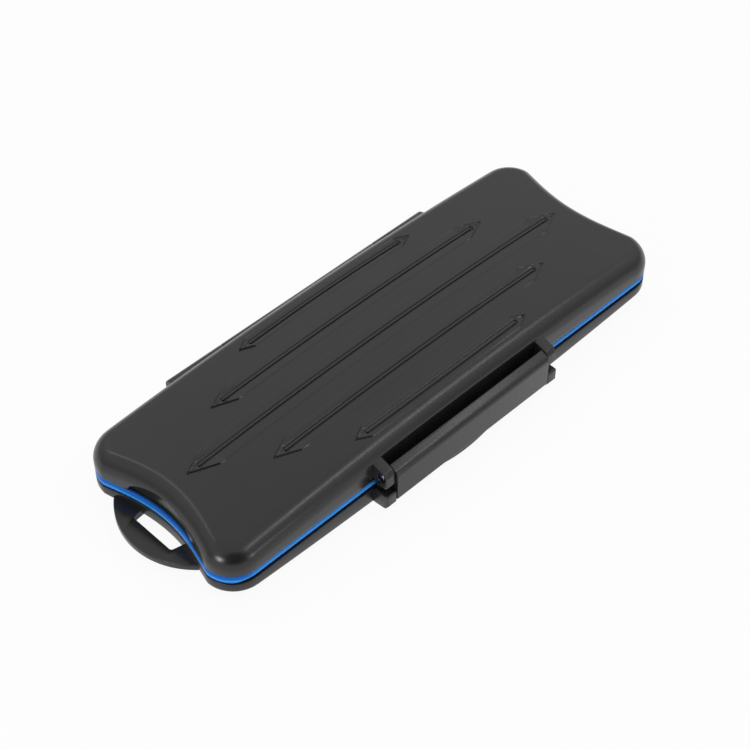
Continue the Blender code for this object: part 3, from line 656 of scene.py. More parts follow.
# %% Arrow relief
ARROWS = (  # tip share, offset share, half width, length of the point, radius of the bow
    (0.395, -0.7714, 0.0026, 0.0052, 1.67),
    (0.626, -0.4101, 0.0038, 0.0087, None),
    (0.853, 0.0, 0.0046, 0.0100, None),
    (0.626, 0.4101, 0.0038, 0.0087, None),
    (0.395, 0.7714, 0.0026, 0.0052, 1.67),
)
ARROW_LEAST = 0.00004
RIM_HALF = 0.00020
RIM_HIGH = 0.00050
RIM_DISH = 0.00018
RIM_END = 0.0004
SHAFT_HIGH = 0.00008
SHAFT_RISE = 0.00010
CHANNEL_START = 0.0043
CHANNEL_HALF = 0.00115
CHANNEL_DEPTH = 0.00038
CHANNEL_WALL_END = 0.64  # share of the way from the channel's edge to the ridge's foot
RIDGE_FOOT = 0.00052
RIDGE_TOP = 0.00027
RIDGE_START = 0.0006
PATCH_INSET = 0.0050
LATCH_FLAT_END = 0.0363
STATION_STEP = 0.0025
HEAD_STEP = 0.0010
STATION_LEAST = 0.00004
LAST_STATION = 0.0856
JUMP = 0.00005  # half the length of a sudden step
LINE_LEAST = 0.0000012


def round_end(distance, radius):
    """Half width of a strip with a round end: sqrt(radius^2 - (radius - distance)^2)."""
    short = np.clip(radius - distance, 0, radius)
    return np.sqrt(radius**2 - short**2)


def arrow_lines(x, tip_share, offset_share, half_width, point, bow):
    """Lines along an arrow: their places across the lid and their heights above its crown.

    The half width closes from the barb to the tip. The rim is a smooth step of fixed width, high
    along the point and low along the shaft, and dished behind. The channel and the ridge in it
    have round ends. Each place is held below its share of the room that the closing point leaves.
    """
    tip = tip_share * HALF_LENGTH
    middle = offset_share * HALF_WIDTH + 0 * x
    if bow:
        middle -= np.sign(offset_share) * x**2 / (2 * bow)
    from_tip = tip - np.abs(x)
    edge = half_width * np.clip(from_tip / point, 0, 1) + ARROW_LEAST
    head = smooth(np.clip((point - from_tip + RIM_END) / RIM_END, 0, 1))
    shaft = SHAFT_HIGH + SHAFT_RISE * (x / tip) ** 2
    rim = shaft + (RIM_HIGH - shaft) * head
    rim *= smooth(np.clip((from_tip + RIM_HALF) / (2 * RIM_HALF), 0, 1))
    level = np.minimum(rim, SHAFT_HIGH)
    inside = np.maximum(edge - RIM_HALF, edge / 2)
    dish = RIM_DISH * head * np.clip(inside / (5 * RIM_HALF), 0, 1)
    channel = round_end(from_tip - CHANNEL_START, CHANNEL_HALF)
    ridge = round_end(from_tip - CHANNEL_START - RIDGE_START, RIDGE_FOOT)
    deep = CHANNEL_DEPTH * np.clip(channel / CHANNEL_HALF * 2, 0, 1)
    tall = (deep + level) * np.clip(ridge / RIDGE_FOOT * 1.5, 0, 1)
    bottom = channel + (ridge - channel) * CHANNEL_WALL_END
    crest = ridge * RIDGE_TOP / RIDGE_FOOT
    quarter = np.linspace(0, 1, 4)[:, None]
    sixth = np.linspace(0, 1, 7)[:, None]
    places = np.concatenate([
        [crest / 2],
        crest + (ridge - crest) * quarter,
        bottom + (channel - bottom) * quarter,
        [(channel + inside) / 2, inside - 2 * RIM_HALF, inside - RIM_HALF / 2],
    ])
    heights = np.concatenate([
        [tall - deep],
        tall * (1 - smooth(quarter)) - deep,
        (deep + level) * smooth(quarter) - deep,
        [(level + rim - dish) / 2, rim - dish, rim - dish],
    ])
    room = np.linspace(0, 1, len(places) + 2)[1:-1, None] * inside
    least = LINE_LEAST * np.arange(1, len(places) + 1)[:, None]
    places = np.minimum(np.maximum.accumulate(np.maximum(places, 0) - least) + least, room)
    outside = inside + (edge + RIM_HALF - inside) * sixth
    places = np.concatenate([places, outside, [edge + 2 * RIM_HALF]])
    heights = np.concatenate([heights, rim * (1 - sixth), [0 * x]])
    places = np.concatenate([middle - places[::-1], [middle], middle + places])
    return places, np.concatenate([heights[::-1], heights[:1], heights])


def between(low, high, count):
    """Lines evenly spaced between two lines, without them."""
    shares = np.linspace(0, 1, count + 2)[1:-1, None]
    return low + (high - low) * shares


def lid_stations():
    """Places along the lid, closest where a rim, a channel or a tip ends."""
    marks = [np.arange(0, LAST_STATION, STATION_STEP), [LAST_STATION]]
    marks += [[LATCH_FLAT_END - JUMP, LATCH_FLAT_END + JUMP]]
    for tip_share, _, _, point, _ in ARROWS[:3]:
        tip = tip_share * HALF_LENGTH
        start = tip - CHANNEL_START
        marks += [
            np.arange(tip - point, tip, HEAD_STEP),
            tip - point + np.linspace(-JUMP, RIM_END + JUMP, 7),
            start - np.linspace(0, 1, 9) ** 1.5 * (RIDGE_START + CHANNEL_HALF),
            tip + np.linspace(-3, 1.2, 8) * RIM_HALF,
        ]
    marks = np.unique(np.round(np.concatenate(marks), 6))
    marks = marks[(marks <= LAST_STATION) & (np.diff(marks, prepend=-1) > STATION_LEAST)]
    return np.concatenate([-marks[:0:-1], marks])


print("places along the lid:", len(lid_stations()))

# %% [markdown]
# The end of the lid above the loop has a shallow arched thumb scoop, by which the lid is lifted.
# Its arch is a half ellipse under a small lip. Its wall overhangs, so it is deeper at the foot,
# where a narrow shelf covers the seal. A cutter would leave a ragged line in the rounded edge, so
# the rings of that edge end higher within the arch. The side behind the latch is cut flat.

# %% The lid's surface
SCOOP_HALF_WIDTH = 0.0153
SCOOP_HEIGHT = 0.00595
SCOOP_TOP_DEPTH = 0.00078
SCOOP_FOOT_DEPTH = 0.00115
SCOOP_LIP = 0.00012
SCOOP_SHELF_INSET = 0.0006
SCOOP_SHELF_HIGH = 0.00012
LATCH_FLAT_Y = -0.0352
STRIP_STEPS = 8


def end_lines(count):
    """Places of the lid's lines at its ends, dense where the thumb scoop's arch is steep."""
    corner = corner_lines(PATCH_INSET)
    side = np.linspace(SCOOP_HALF_WIDTH, END_SPAN, 19)[1:]
    outer = np.concatenate([side, corner])
    turn = np.linspace(-np.pi / 2, np.pi / 2, count - 2 * len(outer))
    return np.concatenate([-outer[::-1], SCOOP_HALF_WIDTH * np.sin(turn), outer])


def with_ends(x, y, height, end_y, inset, steps):
    """Lines along the case, run on at both ends to places end_y of the outline at an inset."""
    share = np.linspace(0, 1, steps + 1)[1:]
    strip_x = x[-1] + (end_place(end_y, inset) - x[-1])[:, None] * share
    strip_y = y[:, -1:] + (end_y[:, None] - y[:, -1:]) * share
    x_all = np.concatenate([-strip_x[:, ::-1], np.broadcast_to(x, y.shape), strip_x], 1)
    y_all = np.concatenate([strip_y[:, ::-1], y, strip_y], 1)
    return x_all, y_all, np.pad(height, ((0, 0), (steps, steps)))


def edge_drop(inset):
    """Fall of the rounded edge, a quarter ellipse: high (1 - sqrt(1 - share^2))."""
    share = np.clip((TOP_ROUND_WIDE - inset) / TOP_ROUND_WIDE, 0, 1)
    return TOP_ROUND_HIGH * (1 - np.sqrt(1 - share**2))


def lid_patch():
    """The top as one grid, of height crown - edge drop + relief, out to the rounded edge."""
    x = lid_stations()
    side = np.full((1, len(x)), HALF_WIDTH - PATCH_INSET)
    places, heights = [-side], [0 * side]
    for arrow in ARROWS:
        lines, raised = arrow_lines(x, *arrow)
        gap = between(places[-1][-1:], lines[:1], 4)
        places += [gap, lines]
        heights += [0 * gap, raised]
    gap = between(places[-1][-1:], side, 4)
    y = np.concatenate([*places, gap, side])
    height = np.concatenate([*heights, 0 * gap, 0 * side])
    x, y, raised = with_ends(x, y, height, end_lines(len(y)), PATCH_INSET, STRIP_STEPS)
    flat = np.stack([x, y], -1)
    return np.dstack([flat, top_crown(flat) - edge_drop(inset_of(x, y)) + raised])


def lid_rings(outline):
    """Rings from the patch's edge over the rounded edge, down the wall and up the inside.

    A round is a part of an ellipse: at angle a its inset is wide (1 - cos a) and its fall
    high (1 - sin a). The arch of the scoop has height high sqrt(1 - (y / half width)^2).
    """
    foot = outline.at(0)
    in_scoop = (foot[:, 0] < -CORNER_X) & (np.abs(foot[:, 1]) < SCOOP_HALF_WIDTH)
    arch = np.sqrt(np.clip(1 - (foot[:, 1] / SCOOP_HALF_WIDTH) ** 2, 0, 1)) * in_scoop
    onset = np.clip(arch * 6, 0, 1)
    rim = LID_RIM + RIM_ROUND
    arch_z = rim + SCOOP_HEIGHT * arch
    wall_top = top_crown(foot) - TOP_ROUND_HIGH
    lip = SCOOP_LIP * onset
    low_angle = np.arcsin(np.clip((arch_z + lip - wall_top) / TOP_ROUND_HIGH, 0, 1))
    high_angle = math.acos(1 - PATCH_INSET / TOP_ROUND_WIDE)
    rings = []
    for share in np.linspace(0, 1, 15):
        angle = high_angle + (low_angle - high_angle) * share
        inset = TOP_ROUND_WIDE * (1 - np.cos(angle))
        rings.append(outline.ring(inset, top_crown, -TOP_ROUND_HIGH * (1 - np.sin(angle))))
    lip_inset = TOP_ROUND_WIDE * (1 - np.cos(low_angle))
    lip_top = rings[-1][:, 2]
    lip_drop = np.minimum(arch_z + lip, lip_top) - lip_top
    for share in np.linspace(0, 1, 4)[1:]:
        rings.append(outline.ring(lip_inset, lip_top + lip_drop * share))
    rings.append(outline.ring(lip_inset + lip, arch_z))
    deep = SCOOP_FOOT_DEPTH * onset
    shelf = rim + SCOOP_SHELF_HIGH * onset
    for share in np.linspace(1, 0, 7):
        inset = deep + (SCOOP_TOP_DEPTH - SCOOP_FOOT_DEPTH) * onset * share
        rings.append(outline.ring(inset, shelf + (arch_z - shelf) * share))
    shelf_inset = SCOOP_SHELF_INSET * onset
    rings.append(outline.ring(shelf_inset, shelf))
    for angle in np.linspace(0, np.pi / 2, 4)[1:]:
        inset = shelf_inset + RIM_ROUND * (1 - math.cos(angle))
        rings.append(outline.ring(inset, rim - RIM_ROUND * math.sin(angle)))
    rings.append(outline.ring(WALL - RIM_ROUND, LID_RIM))
    rings.append(outline.ring(WALL, rim))
    inner_wide, inner_high = TOP_ROUND_WIDE - WALL, TOP_ROUND_HIGH - WALL
    for angle in np.linspace(0, np.pi / 2, 5):
        inset = WALL + inner_wide * (1 - math.cos(angle))
        rings.append(outline.ring(inset, top_crown, -WALL - inner_high * (1 - math.sin(angle))))
    return np.stack(rings + outline.inward(TOP_ROUND_WIDE, top_crown, (0.5, 1), -WALL))


patch = lid_patch()
lid_outline = Outline(border(patch[..., 0], patch[..., 1]), PATCH_INSET)
rings = lid_rings(lid_outline)
behind_latch = (np.abs(rings[..., 0]) < LATCH_FLAT_END) & (rings[..., 1] < LATCH_FLAT_Y)
rings[..., 1] = np.where(behind_latch, LATCH_FLAT_Y, rings[..., 1])
print("lid patch:", patch.shape[:2], "rings:", rings.shape[:2])

# %% [markdown]
# Two ears carry the latch pins, and two outer knuckles carry the hinge pins. Both are moulded on
# the lid, so they belong to its piece. They are bars whose roots end within the lid's wall, which
# hides them and needs no cut.

# %% Ears, knuckles and the lid as a piece
HINGE_AXIS = (0.0392, 0.0120)
LATCH_AXIS = (-0.0391, 0.0162)
ROOT_Y = 0.03497  # the plane inside the walls in which ears, lugs and knuckles are rooted
FOOT_Y = 0.03634  # the plane outside them, from which they stand out
EAR_ENDS = (0.03575, 0.0397)
PIN_BORE = 0.00105
PIN_MOUTH = (0.0017, 0.0008)
LID_KNUCKLE_ENDS = (0.0357, 0.0594)
BARREL_RADIUS = 0.0030
BARREL_BORE = 0.0013
BASE_TRAY = (0.0122, 0.0064)  # heights of the tray's mouth side and of its back
LID_TRAY = (0.0134, 0.0183)

ear_profile = rounded([
    (-0.0343, 0.0203, 0), (-0.0403, 0.0185, 0.0009), (-0.0413, 0.0168, 0.0007),
    (-0.0415, 0.0124, 0.0007), (-FOOT_Y, 0.0110, 0), (-FOOT_Y, 0.01335, 0), (-0.0343, 0.01335, 0),
])
ears = both_sides(ear_profile, *EAR_ENDS, CRISP_EDGE, (LATCH_AXIS, PIN_BORE), PIN_MOUTH)
barrel_arc = arc(HINGE_AXIS, BARREL_RADIUS, 166, 440, 48)
lid_barrel = np.concatenate([[(ROOT_Y, 0.0172), (ROOT_Y, 0.01335)], barrel_arc])
lid_knuckles = both_sides(lid_barrel, *LID_KNUCKLE_ENDS, SOFT_EDGE, (HINGE_AXIS, BARREL_BORE))
lid_ribs = ribs(top_crown, -WALL / 2, LID_TRAY[1] + FIT)
lid_shells = [grid(patch), grid(rings, close_columns=True), *ears, *lid_knuckles, *lid_ribs]
make_piece("lid_with_arrows", "lid_shell", lid_shells, shell_black)

# %% [markdown]
# ## The base
#
# The base is the lower moulding: a crowned belly that rests on its flat middle, a low wall, and
# a raised lip round which the seal sits. The strap loop, the lugs beside the latch, the catch
# that the latch snaps under and the middle hinge knuckle are moulded on it. A hollowed block
# would need many cuts, so the whole skin is one stack of rings, from the belly's middle outward,
# over the lip and in again to the middle of the floor.

# %% The base's surface
LEDGE = 0.0024
LIP_INSET = 0.0038
LIP_TOP = 0.0126
FLOOR_ROUND = 0.0015


def base_rings(outline):
    """Rings from the middle of the belly, up the wall, over the lip and down to the floor.

    At turn t of a quarter circle a round is drawn in by wide (1 - cos t) and rises or falls by
    high (1 - sin t) from the face that it leaves.
    """
    shares = (1, 0.85, 0.7, 0.55, 0.4, 0.3, 0.2, 0.1, 0)
    rings = outline.inward(BELLY_ROUND_WIDE, belly_crown, shares)
    for turn in np.linspace(np.pi / 2, 0, 13)[1:]:
        inset = BELLY_ROUND_WIDE * (1 - math.cos(turn))
        rings.append(outline.ring(inset, belly_crown, BELLY_ROUND_HIGH * (1 - math.sin(turn))))
    for turn in np.linspace(0, np.pi / 2, 4):
        inset = RIM_ROUND * (1 - math.cos(turn))
        rings.append(outline.ring(inset, BASE_RIM - RIM_ROUND * (1 - math.sin(turn))))
    lip = [(LEDGE, BASE_RIM), (LEDGE, LIP_TOP - RIM_ROUND), (LEDGE + RIM_ROUND, LIP_TOP),
           (LIP_INSET - RIM_ROUND, LIP_TOP), (LIP_INSET, LIP_TOP - RIM_ROUND)]
    rings += [outline.ring(inset, z) for inset, z in lip]
    for turn in np.linspace(0, np.pi / 2, 5):
        inset = LIP_INSET + FLOOR_ROUND * (1 - math.cos(turn))
        rise = WALL + FLOOR_ROUND * (1 - math.sin(turn))
        rings.append(outline.ring(inset, belly_crown, rise))
    shares = (0.2, 0.4, 0.7, 1)
    return np.stack(rings + outline.inward(LIP_INSET + FLOOR_ROUND, belly_crown, shares, WALL))


base_body = grid(base_rings(around), close_columns=True)
print("quads of the base's skin:", len(base_body[1]))

# %% [markdown]
# The loop is a flat tab round a slot for a strap. A slot cut through a plate would have sharp
# edges. So a rounded section lies between the outer arc and the slot's edge, and it travels round
# the slot from root to root.


# %% The strap loop
LOOP_LOW, LOOP_HIGH = 0.0037, 0.0062
LOOP_EDGE = 0.0003
LOOP_TIP = -0.1070
LOOP_RADIUS = 0.0275
LOOP_MIDDLE = 0.0018
LOOP_ENDS = (-0.0186, 0.0213)
LOOP_ROOTS = (-0.01025, 0.0107)
LOOP_ROOT_INSET = 0.0011
SLOT_ROOT = -0.0926
SLOT_WALL_END = -0.0935
SLOT_SPACING = 0.0012


def strap_loop():
    """Sections of the tab, each from its outer arc to the slot or to the root in the wall.

    At an angle a the outer arc is radius (1 - cos a) behind its tip and radius sin a beside it.
    """
    slot = rounded([(SLOT_ROOT, -0.0097, 0), (-0.1001, -0.0081, 0.0011),
                    (-0.1001, 0.0102, 0.0005), (SLOT_ROOT, 0.0106, 0)])
    slot = refined(slot[::-1], SLOT_SPACING)
    slot = slot[slot[:, 0] < SLOT_WALL_END]
    slot = slot[np.argsort(-np.arctan2(slot[:, 1], SLOT_ROOT - slot[:, 0]))]
    (near_end, far_end), (near_root, far_root) = LOOP_ENDS, LOOP_ROOTS
    roots = [np.linspace(far_end, far_root, 6), np.linspace(near_root, near_end, 6)]
    above, below = [np.stack([LOOP_ROOT_INSET + end_hollow(y) - HALF_LENGTH, y], 1) for y in roots]
    inner = np.concatenate([above, slot, below])
    length = np.concatenate([[0], np.cumsum(np.linalg.norm(np.diff(inner, axis=0), axis=1))])
    high, low = np.arcsin((np.array(LOOP_ENDS)[::-1] - LOOP_MIDDLE) / LOOP_RADIUS)
    angle = high + (low - high) * length / length[-1]
    outer = LOOP_RADIUS * np.stack([1 - np.cos(angle), np.sin(angle)], 1) + (LOOP_TIP, LOOP_MIDDLE)
    across = inner - outer
    across /= np.linalg.norm(across, axis=1)[:, None]
    turn = np.linspace(0, np.pi / 2, EDGE_STEPS + 1)
    away = LOOP_EDGE * (1 - np.cos(turn))
    drop = LOOP_EDGE * (1 - np.sin(turn))
    high_outer = [(outer + across * a, LOOP_HIGH - d) for a, d in zip(away, drop)]
    high_inner = [(inner - across * a, LOOP_HIGH - d) for a, d in zip(away, drop)]
    low_inner = [(flat, LOOP_HIGH + LOOP_LOW - level) for flat, level in high_inner]
    low_outer = [(flat, LOOP_HIGH + LOOP_LOW - level) for flat, level in high_outer]
    rounds = high_outer + high_inner[::-1] + low_inner + low_outer[::-1]
    lines = [np.column_stack([flat, np.full(len(flat), level)]) for flat, level in rounds]
    return tube(np.stack(lines, 1))


loop = strap_loop()
print("loop's points:", len(loop[0]))

# %% [markdown]
# Lugs stand beside both ends of the latch, a low ridge between them is the catch, and the middle
# knuckle of the hinge is on the other side. They are bars rooted in the base's wall.

# %% Lugs, catch, knuckle and the base as a piece
ROOT_Z = 0.0083  # just under the base's rim
LUG_ENDS = (0.03575, 0.0399)
CATCH_END = 0.0345
CATCH_EDGE = 0.0002
BASE_KNUCKLE_END = 0.0354

lug_profile = rounded([
    (-ROOT_Y, ROOT_Z, 0), (-FOOT_Y, ROOT_Z, 0), (-FOOT_Y, 0.0091, 0), (-0.0422, 0.0091, 0.0006),
    (-0.0422, 0.0045, 0.0006), (-0.0410, 0.0028, 0.0007), (-ROOT_Y, 0.0020, 0),
])
lugs = both_sides(lug_profile, *LUG_ENDS, SOFT_EDGE)
catch_profile = rounded([
    (-ROOT_Y, ROOT_Z, 0), (-0.0376, ROOT_Z, 0.0003), (-0.0385, 0.0073, 0.0002),
    (-0.0385, 0.0070, 0.0001), (-ROOT_Y, 0.0070, 0),
])
catch = bar(catch_profile, -CATCH_END, CATCH_END, CATCH_EDGE)
barrel_arc = arc(HINGE_AXIS, BARREL_RADIUS, -38, 200, 40)
barrel_root = [(ROOT_Y, ROOT_Z), (ROOT_Y, 0.0036)]
base_barrel = np.concatenate([barrel_root, barrel_arc, [(0.03617, ROOT_Z)]])
knuckle = bar(base_barrel, -BASE_KNUCKLE_END, BASE_KNUCKLE_END, SOFT_EDGE)
base_ribs = ribs(belly_crown, WALL / 2, BASE_TRAY[1] - FIT)
base_shells = [base_body, loop, *lugs, catch, knuckle, *base_ribs]
make_piece("base_with_loop", "base_shell", base_shells, shell_black)

# %% [markdown]
# ## The seal
#
# A silicone ring lies on the base's ledge, and its outer face bulges between the rims. Along the
# long sides its foot is drawn in, which leaves a dark groove above the base's rim. A profile
# swept along a curve would be alike all round, so each ring has its own inset at each point.


# %% The seal
SEAL_LOW, SEAL_HIGH = 0.0089, 0.0122
SEAL_INSET = 0.00005
SEAL_TURNS = (0.0094, 0.0105)  # at the ends and along the sides
SEAL_FOOT_DEPTHS = (0.00040, 0.00125)
SEAL_TOP_DEPTH = 0.00020
SEAL_BACK = 0.00205
SEAL_SIDE_START = 0.75  # part of the outward direction across the case where a side starts


def seal_rings(outline):
    """Rings of the outer face, which draws in far below its bulge and a little above it.

    Below the turn the inset grows with the share of the way to the foot to the power 1.3, and
    above it with the fourth power of the share of the way to the top. The turn lies higher and
    the foot deeper along the sides, where the outline's direction is across the case.
    """
    across = np.abs(outline.out[:, 1]) - SEAL_SIDE_START
    side = smooth(np.clip(across / (1 - SEAL_SIDE_START), 0, 1))
    turn = np.interp(side, (0, 1), SEAL_TURNS)
    depth = np.interp(side, (0, 1), SEAL_FOOT_DEPTHS)
    rings = []
    for z in np.linspace(SEAL_LOW, SEAL_HIGH, 25):
        below = np.clip((turn - z) / (turn - SEAL_LOW), 0, 1)
        above = np.clip((z - turn) / (SEAL_HIGH - turn), 0, 1)
        rings.append(outline.ring(SEAL_INSET + depth * below**1.3 + SEAL_TOP_DEPTH * above**4, z))
    return np.stack([*rings, outline.ring(SEAL_BACK, SEAL_HIGH), outline.ring(SEAL_BACK, SEAL_LOW)])


seal = tube(seal_rings(around), through=True)
make_piece("blue_seal", "seal_ring", [seal], blue)

# %% [markdown]
# ## The latch
#
# The latch flap is a long bent plate with a cheek at each end. A bead along its top turns on two
# short steel pins, a hook along its foot snaps under the catch, and a lip in the shape of a lens
# near the middle of its foot takes a finger. The flap and the pins are bars, because only the lip
# changes along its length.

# %% The latch
FLAP_END = 0.0355
BEAD_RADIUS = 0.0018
CHEEK_ENDS = (0.0348, 0.0354)
CHEEK_EDGE = 0.0001
LENS_TOP = 0.0061
LENS_MIDDLE = -0.0040
LENS_HALF_LENGTH = 0.0105
LENS_END_DROP = 0.42  # share of the full drop that its ends have
LATCH_PIN = (0.00075, 0.0295, 0.0393)  # radius, inner end, outer end
HINGE_PIN = (0.0010, 0.0228, 0.0588)

flap_profile = np.concatenate([
    rounded([
        (-0.0384, 0.0189, 0.0003), (-0.0423, 0.0171, 0.0024), (-0.0423, 0.0047, 0.0007),
        (-0.0395, 0.0047, 0.0002), (-0.0388, 0.0054, 0.0002), (-0.0388, 0.0067, 0.0002),
        (-0.0401, 0.0073, 0.0004),
    ]),
    arc(LATCH_AXIS, BEAD_RADIUS, -114.6, 70, 30),
])
flap = bar(flap_profile, -FLAP_END, FLAP_END, CRISP_EDGE)
cheek_profile = rounded([
    (-0.0412, 0.0160, 0), (-0.0412, 0.0066, 0), (-0.0390, 0.0066, 0.0005),
    (-0.0372, 0.0090, 0.0005), (-0.0372, 0.0160, 0),
])
cheeks = both_sides(cheek_profile, *CHEEK_ENDS, CHEEK_EDGE)


def finger_lip():
    """A lens along the foot, whose drop at share s of its half length is e + (1 - e)(1 - s^2)."""
    profile = rounded([(-0.0421, LENS_TOP, 0.0004), (-0.0421, 0.0033, 0.0004),
                       (-0.0408, 0.0033, 0.0004), (-0.0408, LENS_TOP, 0.0004)])
    share = np.linspace(-1, 1, 41)[:, None]
    drop = LENS_END_DROP + (1 - LENS_END_DROP) * (1 - share**2)
    height = LENS_TOP - (LENS_TOP - profile[:, 1]) * drop
    x = np.broadcast_to(LENS_MIDDLE + LENS_HALF_LENGTH * share, height.shape)
    return tube(np.dstack([x, np.broadcast_to(profile[:, 0], height.shape), height]))


latch_shells = [flap, *cheeks, finger_lip()]
make_piece("latch_flap_and_lip", "latch_flap", latch_shells, latch_black)


def pin(axis, sign, radius, inner, outer):
    """A round pin on an axis, left of the middle at sign -1 and right of it at sign 1."""
    circle = arc(axis, radius, 0, 360, 40)[:-1]
    return bar(circle, *sorted((sign * inner, sign * outer)), radius / 4)


for side, sign in (("left", -1), ("right", 1)):
    latch_pin = pin(LATCH_AXIS, sign, *LATCH_PIN)
    make_piece(f"latch_steel_{side}", f"latch_pin_{side}", [latch_pin], steel)
    hinge_pin = pin(HINGE_AXIS, sign, *HINGE_PIN)
    make_piece(f"hinge_steel_{side}", f"hinge_pin_{side}", [hinge_pin], steel)

# %% [markdown]
# ## The card trays
#
# A soft tray in each half holds ten cards. Ten cutters would leave long thin triangles. Instead
# the tray's lines follow the pockets' edges, the rounded corners and the finger scoops, and the
# height is set by line: sunk between the two wall lines of a pocket and level elsewhere.

# %% The card trays
TRAY_INSET = 0.0041
TRAY_ROUND = 0.0005
POCKET_HALF = (0.01595, 0.01095)
POCKET_PITCH = (0.0349, 0.0249)
POCKET_DEPTH = 0.0037
POCKET_CORNER = 0.0012
FINGER_RADIUS = 0.0065
FINGER_DEPTH = 0.0030
HALF_WALL = 0.00014
TRAY_STRIP_STEPS = 6


def tray_columns():
    """Places along the tray, and for each the distance from its pocket's middle."""
    turn = np.linspace(0, np.pi / 2, 6)
    length = POCKET_HALF[0]
    finger = FINGER_RADIUS * np.sin(turn[:-1])
    corner = length - POCKET_CORNER * (1 - np.sin(turn[:-1]))
    walls = [wall + side for wall in (FINGER_RADIUS, length) for side in (-HALF_WALL, HALF_WALL)]
    half = np.unique([*finger, *walls, 0.0090, 0.0120, *corner])
    half = half[half <= length + HALF_WALL]
    local = np.concatenate([-half[:0:-1], half])
    middles = POCKET_PITCH[0] * np.arange(-2, 3)
    return (middles[:, None] + local).ravel(), np.tile(local, len(middles))


def tray_lines(x, local):
    """Lines along half the tray: their distance from the long axis and their depth.

    A corner draws a line in by radius - sqrt(radius^2 - into^2), and a finger scoop reaches
    sqrt(radius^2 - local^2) beyond its pocket.
    """
    length, width = POCKET_HALF
    middle = POCKET_PITCH[1] / 2
    in_pocket = np.abs(local) <= length - HALF_WALL + 1e-7
    in_finger = np.abs(local) <= FINGER_RADIUS - HALF_WALL + 1e-7
    into_corner = np.clip(np.abs(local) - (length - POCKET_CORNER), 0, POCKET_CORNER)
    corner = POCKET_CORNER - np.sqrt(POCKET_CORNER**2 - into_corner**2)
    inner, outer = middle - width + corner, middle + width - corner
    reach = np.sqrt(np.clip(FINGER_RADIUS**2 - local**2, 0, None)) * in_finger + HALF_WALL * 3
    pocket, scoop = POCKET_DEPTH * in_pocket, FINGER_DEPTH * in_finger
    lines = [(0 * x, 0 * x), (inner - HALF_WALL, 0 * x), (inner + HALF_WALL, pocket)]
    lines += [(inner + (outer - inner) * share, pocket) for share in (0.25, 0.5, 0.75)]
    lines += [(outer - HALF_WALL, pocket), (outer + HALF_WALL, scoop), (outer + reach / 2, scoop)]
    lines += [(outer + reach - HALF_WALL, scoop), (outer + reach + HALF_WALL, 0 * x)]
    edge = HALF_WIDTH - TRAY_INSET - TRAY_ROUND
    last = lines[-1][0]
    shares = np.linspace(0, 1, CORNER_STEPS + 1)[1:]
    lines += [(last + (edge - last) * share, 0 * x) for share in shares]
    return np.stack([line[0] for line in lines]), np.stack([line[1] for line in lines])


def tray_grid():
    """Places and depths of the tray's mouth side, out to its outline."""
    inset = TRAY_INSET + TRAY_ROUND
    x, local = tray_columns()
    y, depth = tray_lines(x, local)
    y = np.concatenate([-y[:0:-1], y])
    depth = np.concatenate([depth[:0:-1], depth])
    corner = corner_lines(inset)
    rest = len(y) // 2 - len(corner)
    half = np.concatenate([np.linspace(0, END_SPAN, rest + 1), corner])
    end_y = np.concatenate([-half[:0:-1], half])
    return with_ends(x, y, depth, end_y, inset, TRAY_STRIP_STEPS)


def tray_shells(mouth, back):
    """The tray between its mouth level and its back level, which may be above or below it."""
    x, y, depth = tray_grid()
    into = np.sign(back - mouth)
    front = np.dstack([x, y, mouth + into * depth])
    rear = np.dstack([x, y, np.full_like(x, back)])
    outline = Outline(border(x, y), TRAY_INSET + TRAY_ROUND)
    rounds = [(TRAY_INSET + TRAY_ROUND * (1 - math.sin(turn)), TRAY_ROUND * (1 - math.cos(turn)))
              for turn in np.linspace(0, np.pi / 2, 5)]
    rings = [outline.ring(inset, mouth + into * drop) for inset, drop in rounds]
    rings += [outline.ring(inset, back - into * drop) for inset, drop in rounds[::-1]]
    return [grid(front), grid(rear), grid(np.stack(rings), close_columns=True)]


make_piece("base_card_tray", "base_tray", tray_shells(*BASE_TRAY), rubber)
make_piece("lid_card_tray", "lid_tray", tray_shells(*LID_TRAY), rubber)

# %% [markdown]
# ## Stage and light
#
# The case lies on a plain white table in a pale room. Four soft boxes add the reflections:
# a long one high on the right draws the line along the rounded near edge, one behind draws the
# line along the near end, and one on the left and one in front light the spots on the corner.
# Large lamps would turn the black plastic grey, so the boxes are small or narrow and the room
# does the rest. The floor glows to the camera and in reflections, and keeps the case's shadow.


# %% Stage and light
TABLE_HALF = 3.0
TABLE_TOP = -0.0001
SEEN_WHITE = 0.93
MIRRORED_WHITE = 0.7
SOFT_BOXES = {  # place, width and height, strength
    "box_left": ((-1.13, -0.226, 0.343), (0.27, 0.27), 3.1),
    "box_right": ((0.45, -0.58, 1.08), (1.0, 0.13), 1.8),
    "box_end": ((-0.234, 0.766, 1.024), (0.09, 0.36), 0.45),
    "box_front": ((0.163, -1.162, 0.254), (0.18, 0.18), 0.7),
}
DARK_CORNER = (-0.506, -0.721, 0.473)  # unit direction from the case


def white_table():
    """A pale floor that the camera sees as white and that keeps the case's soft shadow."""
    material, tree, _ = new_material("white_table", base_color=(0.86, 0.86, 0.86, 1), roughness=0.9)
    shader = tree.nodes["Principled BSDF"]
    glow = tree.nodes.new("ShaderNodeEmission")
    glow.inputs["Color"].default_value = (1, 1, 1, 1)
    path = add_node(tree, "ShaderNodeLightPath")
    mix = tree.nodes.new("ShaderNodeMixShader")
    mirrored = path["Is Glossy Ray"] + path["Is Transmission Ray"]
    seen = path["Is Camera Ray"] * SEEN_WHITE + mirrored * MIRRORED_WHITE
    tree.links.new(seen.socket, mix.inputs[0])
    tree.links.new(shader.outputs[0], mix.inputs[1])
    tree.links.new(glow.outputs[0], mix.inputs[2])
    tree.links.new(mix.outputs[0], tree.nodes["Material Output"].inputs["Surface"])
    return material


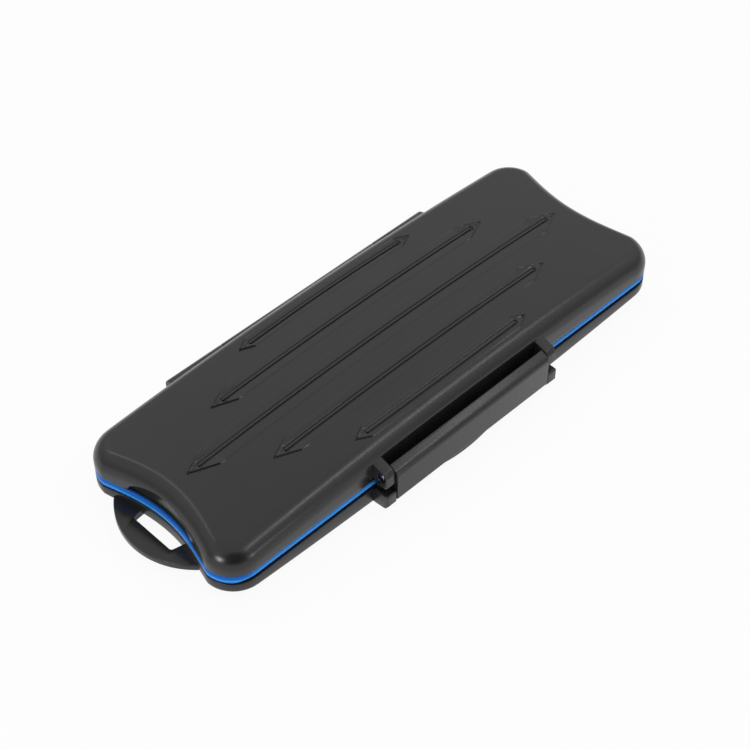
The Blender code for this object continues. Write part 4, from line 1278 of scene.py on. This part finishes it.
def table():
    """The floor, a hair below the case."""
    data = bpy.data.meshes.new("table")
    corners = [(-1, -1), (1, -1), (1, 1), (-1, 1)]
    points = [(TABLE_HALF * x, TABLE_HALF * y, TABLE_TOP) for x, y in corners]
    data.from_pydata(points, [], [(0, 1, 2, 3)])
    data.materials.append(white_table())
    floor = bpy.data.objects.new("table", data)
    bpy.context.scene.collection.objects.link(floor)


def soft_box(name, place, size, strength):
    """A rectangular light that faces the case."""
    data = bpy.data.lights.new(name, "AREA")
    data.shape = "RECTANGLE"
    data.size, data.size_y = size
    data.energy = strength
    light = bpy.data.objects.new(name, data)
    light.location = place
    light.rotation_euler = (-Vector(place)).to_track_quat("-Z", "Y").to_euler()
    bpy.context.scene.collection.objects.link(light)


def studio_world():
    """Pale walls and ceiling, brightest about halfway up, with a dark corner by the camera."""
    world = bpy.data.worlds.new("studio")
    world.use_nodes = True
    tree = world.node_tree
    place = add_node(tree, "ShaderNodeTexCoord")["Generated"]
    height = place.node("ShaderNodeSeparateXYZ", (), {"Vector": place})["Z"]
    level = 0.5 + height.ramp(0.1, 0.7) * 0.42 - height.ramp(0.75, 1.0) * 0.14
    level = level * (1 - dot(place, DARK_CORNER).ramp(0.788, 0.92) * 0.93)
    channels = {"Red": level, "Green": level, "Blue": level}
    grey = level.node("ShaderNodeCombineColor", (), channels)["Color"]
    tree.links.new(grey.socket, tree.nodes["Background"].inputs["Color"])
    bpy.context.scene.world = world


table()
for name, box in SOFT_BOXES.items():
    soft_box(name, *box)
studio_world()
bpy.context.scene.view_settings.view_transform = "Standard"
print("lights:", sorted(light.name for light in bpy.data.lights))

# %% [markdown]
# ## Camera
#
# The camera looks down along the case from beyond its near corner, as in the photograph. It could
# be aimed by eye, but its place, turn and lens were worked out from the corners of the case.

# %% Camera
CAMERA_PLACE = (-0.29836, -0.29813, 0.45390)
CAMERA_RIGHT = Vector((0.71139, -0.70280, 0))
CAMERA_UP = Vector((0.51281, 0.51908, 0.68380))
SENSOR_WIDTH = 36
LENS = 87.74

camera_data = bpy.data.cameras.new("camera")
camera_data.sensor_width = SENSOR_WIDTH
camera_data.lens = LENS
camera = bpy.data.objects.new("camera", camera_data)
axes = Matrix((CAMERA_RIGHT, CAMERA_UP, CAMERA_RIGHT.cross(CAMERA_UP)))
camera.matrix_world = Matrix.Translation(CAMERA_PLACE) @ axes.transposed().to_4x4()
bpy.context.scene.collection.objects.link(camera)
bpy.context.scene.camera = camera
print("camera:", [round(v, 3) for v in camera.location])

# %% [markdown]
# ## The packed model's box
#
# The finished pieces stay inside the box of the packed model.
